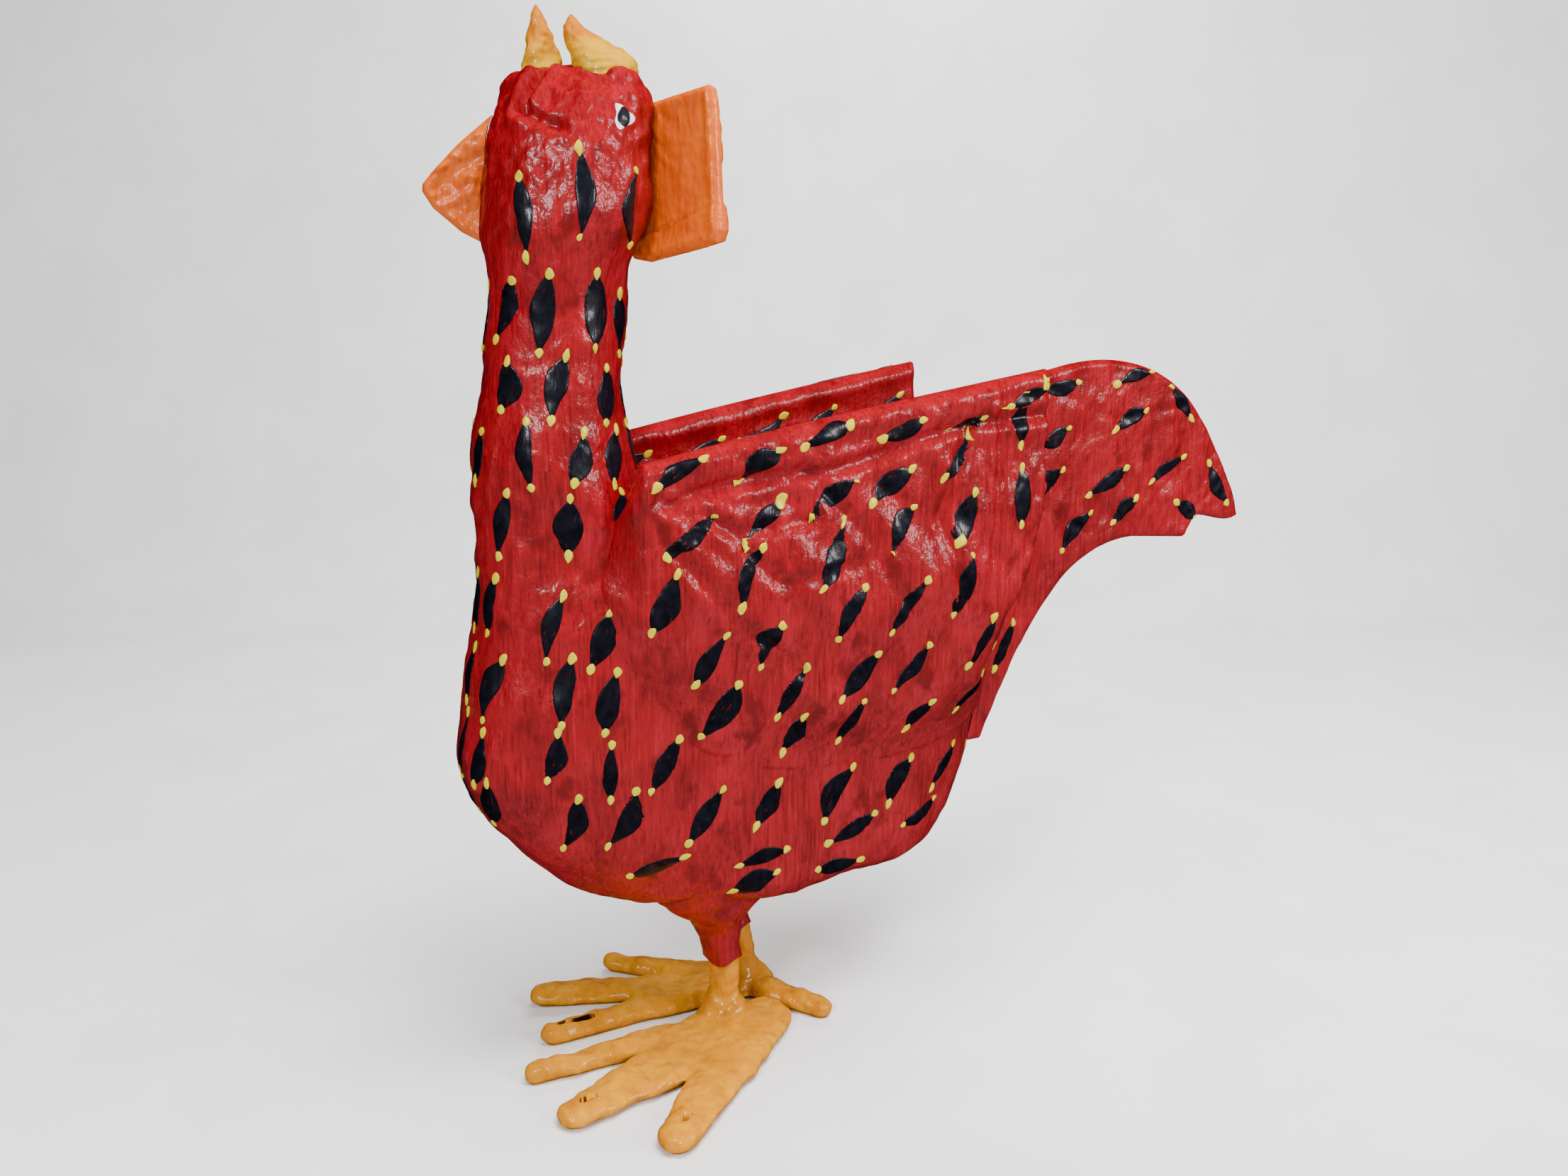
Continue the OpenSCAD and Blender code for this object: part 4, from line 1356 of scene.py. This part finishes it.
@dataclass
class Eye:
    """A white painted patch with a black pupil on one side of the head."""

    side: int
    turn: float = 66.0
    height: float = 142.4
    shrink: float = 0.95
    white: tuple = (2.2, 1.4, 1.3, 1.7, 2.1, 1.3, 1.3, 1.9, 2.2, 1.4, 1.4, 1.8)
    black: tuple = (1.15, 1.3, 1.55, 1.5, 1.25, 1.1, 1.2, 1.5, 1.6, 1.5, 1.3, 1.1)

    def blob(self, skin: Skin, radii: tuple, lift: float) -> tuple:
        """A closed painted patch whose outline is a radius for each direction."""
        place = np.array([0, -25.5, self.height]) + 11 * heading(HEAD_TURN + self.side * self.turn)
        u, v = (np.array([x]) for x in skin.nearest(place))
        here, out = skin.at(u, v)
        rise = unit(UP - out * (out @ UP)[:, None])[0]
        across = np.cross(rise, out[0]) * self.side
        cols, rows = 48, 9
        phi = np.linspace(0, 2 * np.pi, cols, endpoint=False)
        r = np.interp(phi, np.linspace(0, 2 * np.pi, len(radii) + 1), (*radii, radii[0]))
        rho = np.sin(np.linspace(0.02, np.pi - 0.02, 2 * rows))
        high = np.cos(np.linspace(0.02, np.pi - 0.02, 2 * rows))
        x = rho[:, None] * r * np.cos(phi) * self.shrink
        y = rho[:, None] * r * np.sin(phi) * self.shrink
        target = here[0] + x[..., None] * across + y[..., None] * rise
        p, out = skin.at(*skin.under(target, u + 0 * x, v + 0 * x))
        h = np.where(high > 0, lift, 0.3)[:, None] * high[:, None] * np.ones_like(x) + 0.02
        return (p + out * h[..., None]).reshape(-1, 3), tube_faces(2 * rows, cols)

    def make(self, skin: Skin, palette: Palette) -> None:
        """Builds the white and the pupil."""
        for part, radii, lift, paint in (("white", self.white, 0.12, palette.white),
                                         ("pupil", self.black, 0.2, palette.pupil)):
            verts, faces = self.blob(skin, radii, lift)
            piece(f"eye_{part}_{hand(self.side)}", verts, faces, paint, "red_paint", recalc=True)


# ------------------------------------------------------------------ paint layout


@dataclass
class Painting:
    """The rows of dashes and dots over the figure."""

    palette: Palette

    def trunk(self, skin: Skin) -> None:
        """Rows on the head, neck, chest, flanks, belly and back, alike on both sides."""
        m = Marks(skin, "trunk", 101)
        # on the head, one by one
        for turn, height, length, width, lean in (
                (50, 129, 10.5, 2.6, -8), (86, 132.5, 13.5, 2.4, 2), (130, 131, 9, 2.4, 0),
                (175, 132, 9, 2.4, 0), (-45, 131, 11, 2.6, -4), (-90, 133, 10, 2.4, 0)):
            m.ring(height, turn, turn, 1, length, width, lean)
        for height, first, count, length, width in (
                (116.5, 28, 10, 9.5, 3.3), (106, 27, 5, 8.0, 3.2), (97, 8, 6, 8.5, 3.0),
                (87.5, 25, 3, 9.5, 3.0)):
            apart = 36 * (1 if count > 5 else 1.2)
            m.ring(height, first, first + apart * (count - 1), count, length, width, 8)
            far = count // 2
            m.ring(height, -first - 12, -first - 12 - 37 * (far - 1), far, length, width, 8)
        for k, height in enumerate((78, 68, 57, 46)):
            wide = 9 + (k % 2) * 2.5
            m.row((-wide, -50, height), (wide, -50, height - 2), 3, 9.5, 3.0, 6)
            for side in (-1, 1):
                m.row((side * 17, -37 + 3 * (k % 2), height - 4), (side * 17, -37, height - 4), 1,
                      9.0, 3.0, 10)
        for side in (-1, 1):
            for start, end, count, lean, length in (
                    ((-29, 72), (-27, 61), 2, 12, 9.0), ((-29, 51), (-29, 51), 1, 14, 9.5),
                    ((-19.5, 51), (-19.5, 51), 1, 20, 8.0),
                    ((-25, 42.5), (35, 40.5), 6, 28, 8.5), ((-19, 33.5), (31, 34.5), 4, 74, 8.5),
                    ((-5, 28.5), (13, 28.5), 2, 78, 7.5)):
                m.row((side * 17, *start), (side * 17, *end), count, length, 2.8, lean)
            m.row((side * 10, 46, 76), (side * 10, 46, 46), 3, 9.0, 2.2, 8)
            m.row((side * 7, -2, 90), (side * 7, 36, 90), 4, 8.5, 2.6, 50)
        m.make(self.palette)

    def wing(self, wing: Wing, skins: tuple) -> None:
        """Rows that follow the slope of the rim, on the outer and the inner face."""
        tag = hand(wing.side)
        m = Marks(skins[0], "wing_" + tag, 211 + wing.side)
        x = wing.side * 18
        for start, end, count, length, lean in (
                ((-16, 94), (40, 105), 6, 7.5, 64), ((-15, 85.5), (28, 94), 5, 9.0, 48),
                ((-19, 77), (31, 86), 5, 9.5, 30), ((-13, 67.5), (31, 76), 5, 9.5, 30),
                ((-10, 58.5), (33, 66), 5, 9.0, 32), ((41, 99), (41, 67), 4, 8.5, 4),
                ((1, 52.8), (35, 54.5), 4, 7.0, 30)):
            m.row((x, *start), (x, *end), count, length, 2.6, lean)
        m.make(self.palette)
        m = Marks(skins[1], "wing_inner_" + tag, 231 + wing.side)
        m.row((x, -14, 92), (x, 38, 101), 5, 9.0, 2.6, 62)
        m.make(self.palette)

    def tail(self, skins: tuple) -> None:
        """Rows along the fan, the same on both faces."""
        for side, skin in zip((1, -1), skins):
            m = Marks(skin, "tail_" + hand(side), 251 + side)
            for start, end, count, length, lean in (
                    ((63, 103.5), (79, 106), 2, 8.5, 76), ((61, 95), (79, 98), 2, 9.0, 62),
                    ((91, 100), (102.5, 85), 2, 8.5, -35), ((60, 86), (89, 88), 3, 9.0, 58),
                    ((66, 78.5), (79, 80.5), 2, 8.0, 50), ((94, 79.5), (94, 79.5), 1, 6.0, -45),
                    ((55, 70), (52.5, 58), 2, 8.0, 22)):
                m.row((side * 2, *start), (side * 2, *end), count, length, 2.6, lean)
            m.make(self.palette)


# ------------------------------------------------------------------ inner pieces and stage


def dress_inner(palette: Palette) -> None:
    """Gives every node that is still shown a material of its own kind."""
    kinds = {s["node"]: s["material_slot"] for s in frame["record"]["subparts"]}
    for name, node in frame["nodes"].items():
        if node.hide_render:
            continue
        paint = palette.inner.get(kinds[name], palette.inner["card"])
        if not node.material_slots:
            node.data.materials.append(paint)
        for place in node.material_slots:
            place.material = paint
        LOG.info("%s: kept, dressed as %s", name, paint.name)


@dataclass
class Stage:
    """Pale floor and backdrop, soft lights and the camera."""

    eye: tuple = (181.5, -84.0, 116.0)
    turn: float = 63.0
    pitch: float = 12.0
    lens: float = 29.1
    middle: tuple = (0.0, 20.0, 75.0)

    def floor(self) -> None:
        """A pale sheet that runs back along the floor and curves up into a backdrop."""
        turn = math.radians(self.turn)
        away = np.array([-math.sin(turn), math.cos(turn)])
        side = np.array([math.cos(turn), math.sin(turn)])
        s = np.linspace(0, 1, 40)
        run = np.interp(s, [0, 0.5, 1], [-500, 260, 640])
        bend = ease((run - 260) / 300)
        far, high = run - 120 * bend, 420 * bend**1.5
        w = np.linspace(-900, 900, 12)
        xy = far[:, None, None] * away + w[None, :, None] * side
        verts = np.concatenate([xy, np.broadcast_to(high[:, None, None], xy.shape[:2] + (1,))], -1)
        made = loose("floor", verts.reshape(-1, 3), grid_faces(40, 12, False))
        mesh = made.data
        mesh.polygons.foreach_set("use_smooth", [True] * len(mesh.polygons))
        mesh.materials.append(PlainStuff("pale_floor", (0.8, 0.79, 0.78), (0.86, 0.85, 0.84),
                                         (30, 30, 30), 0.9).make())
        made.visible_glossy = False

    def stand(self, name: str, data: bpy.types.ID, place: tuple, right: np.ndarray,
              back: np.ndarray) -> bpy.types.Object:
        """Puts a light or camera at a stance place, by its directions to the right and to the back."""
        made = bpy.data.objects.new(name, data)
        axes = np.stack([right, np.cross(back, right), back], 1)
        made.matrix_world = (Matrix.Translation(to_part(place).tolist())
                             @ Matrix(axes.tolist()).to_4x4())
        bpy.context.scene.collection.objects.link(made)
        return made

    def light(self, name: str, place: tuple, size: float, power: float, glints: bool) -> None:
        """A soft square light at a stance place in millimetres, aimed at the figure's middle.

        Args:
            name: the light's name.
            place: where it stands.
            size: width of the light in metres.
            power: power in watts.
            glints: whether it shows in the varnish.
        """
        data = bpy.data.lights.new(name, "AREA")
        data.size, data.energy = size, power
        back = unit(to_part(place) - to_part(self.middle))
        made = self.stand(name, data, place, unit(np.cross(UP, back)), back)
        made.visible_glossy = glints

    def camera(self) -> None:
        """The camera looks level along its heading, pitched down."""
        turn, pitch = math.radians(self.turn), math.radians(self.pitch)
        right = np.array([math.cos(turn), math.sin(turn), 0.0])
        ahead = np.array([-math.sin(turn) * math.cos(pitch), math.cos(turn) * math.cos(pitch),
                          -math.sin(pitch)])
        data = bpy.data.cameras.new("camera")
        data.lens, data.sensor_width = self.lens, 36.0
        data.clip_start, data.clip_end = 0.005, 10.0
        bpy.context.scene.camera = self.stand("camera", data, self.eye, right, -ahead)

    def make(self) -> None:
        """Sets up the camera, floor, lights and a pale surrounding."""
        self.camera()
        self.floor()
        self.light("top_light", (110, 60, 480), 0.3, 5.4, False)
        self.light("key_light", (300, -330, 330), 0.1, 1.9, True)
        self.light("side_light", (360, 260, 260), 0.12, 1.5, True)
        self.light("rear_light", (-300, 200, 330), 0.2, 1.6, False)
        world = bpy.data.worlds.new("surround")
        world.use_nodes = True
        world.node_tree.nodes["Background"].inputs["Color"].default_value = (0.9, 0.92, 0.95, 1)
        world.node_tree.nodes["Background"].inputs["Strength"].default_value = 0.2
        bpy.context.scene.world = world
        world.cycles_visibility.glossy = False


def main() -> None:
    """Builds the figure piece by piece, then the stage."""
    logging.basicConfig(level=logging.INFO, format="%(message)s")
    Stage().make()
    palette = Palette()
    skins = Trunk().make(palette)
    painting = Painting(palette)
    painting.trunk(skins["trunk"])
    for side in (1, -1):
        wing = Wing(side)
        painting.wing(wing, wing.make(palette))
        Ear(side).make(palette)
        Eye(side).make(skins["head"], palette)
    painting.tail(Tail().make(palette))
    # horns: heights with places of the middle line, then heights with half widths
    Horn("horn_left", "horn_skin_left",
         ((148.4, 3.6, -21.2), (150, 3.6, -21.2), (151.5, 3.4, -21.6), (153, 2.7, -23),
          (155, 1.8, -24.8), (157, 1.5, -25.2)),
         ((148.4, 4.4, 4.7), (150, 4.2, 4.7), (151.6, 3.8, 4.4), (153, 2.8, 3.3), (154.6, 1.7, 1.9),
          (156, 0.9, 1.0), (157, 0.12, 0.12)), 81).make(palette)
    Horn("horn_right", "horn_skin_right",
         ((148.4, -3.5, -28), (152, -3.6, -28.1), (159, -4, -28.5)),
         ((148.4, 3.6, 3.6), (150, 3.0, 3.0), (152.5, 2.4, 2.4), (155.5, 1.5, 1.5), (158, 0.7, 0.7),
          (159, 0.12, 0.12)), 85).make(palette)
    Thigh(1, (5, -7), (5, -5.6)).make(palette)
    Thigh(-1, (-5, -3.5), (-5, 1)).make(palette)
    # feet: ankle, knee, toes, palm and slots, each from a place to a place with its half widths
    Foot("left", (5, -5.2), (5, -5.6),
         (((6.5, -14), (6.5, -38), 3.2, 1.8), ((13.5, -18), (19, -35.5), 5.6, 3.1),
          ((17, -10), (31, -24), 4.6, 3.2)),
         (((8, -1), (13, -17), 5.0, 6.0), ((8, 1), (17, -11), 4.6, 6.0), ((6.5, -4), (8, -18), 3.8, 4.6)),
         (((19, -34.5), (18.4, -32.8), 0.8), ((30, -23), (29, -22), 0.7)), 91).make(palette)
    Foot("right", (-5, 2.6), (-5, 1),
         (((-3.5, -12), (-3, -32), 2.8, 2.2), ((-8.5, -10), (-15.5, -29.5), 3.8, 3.0),
          ((-8, -1), (-21, -15.5), 3.4, 1.8), ((-2.5, 3.5), (9.5, 10.5), 2.9, 2.1)),
         (((-5, 2), (-6, -13), 3.8, 4.4), ((-3.4, 1), (-3.4, -14), 3.1, 3.0)),
         (((-3, -31), (-3, -26), 0.65),), 95).make(palette)
    dress_inner(palette)


if __name__ == "__main__":
    main()
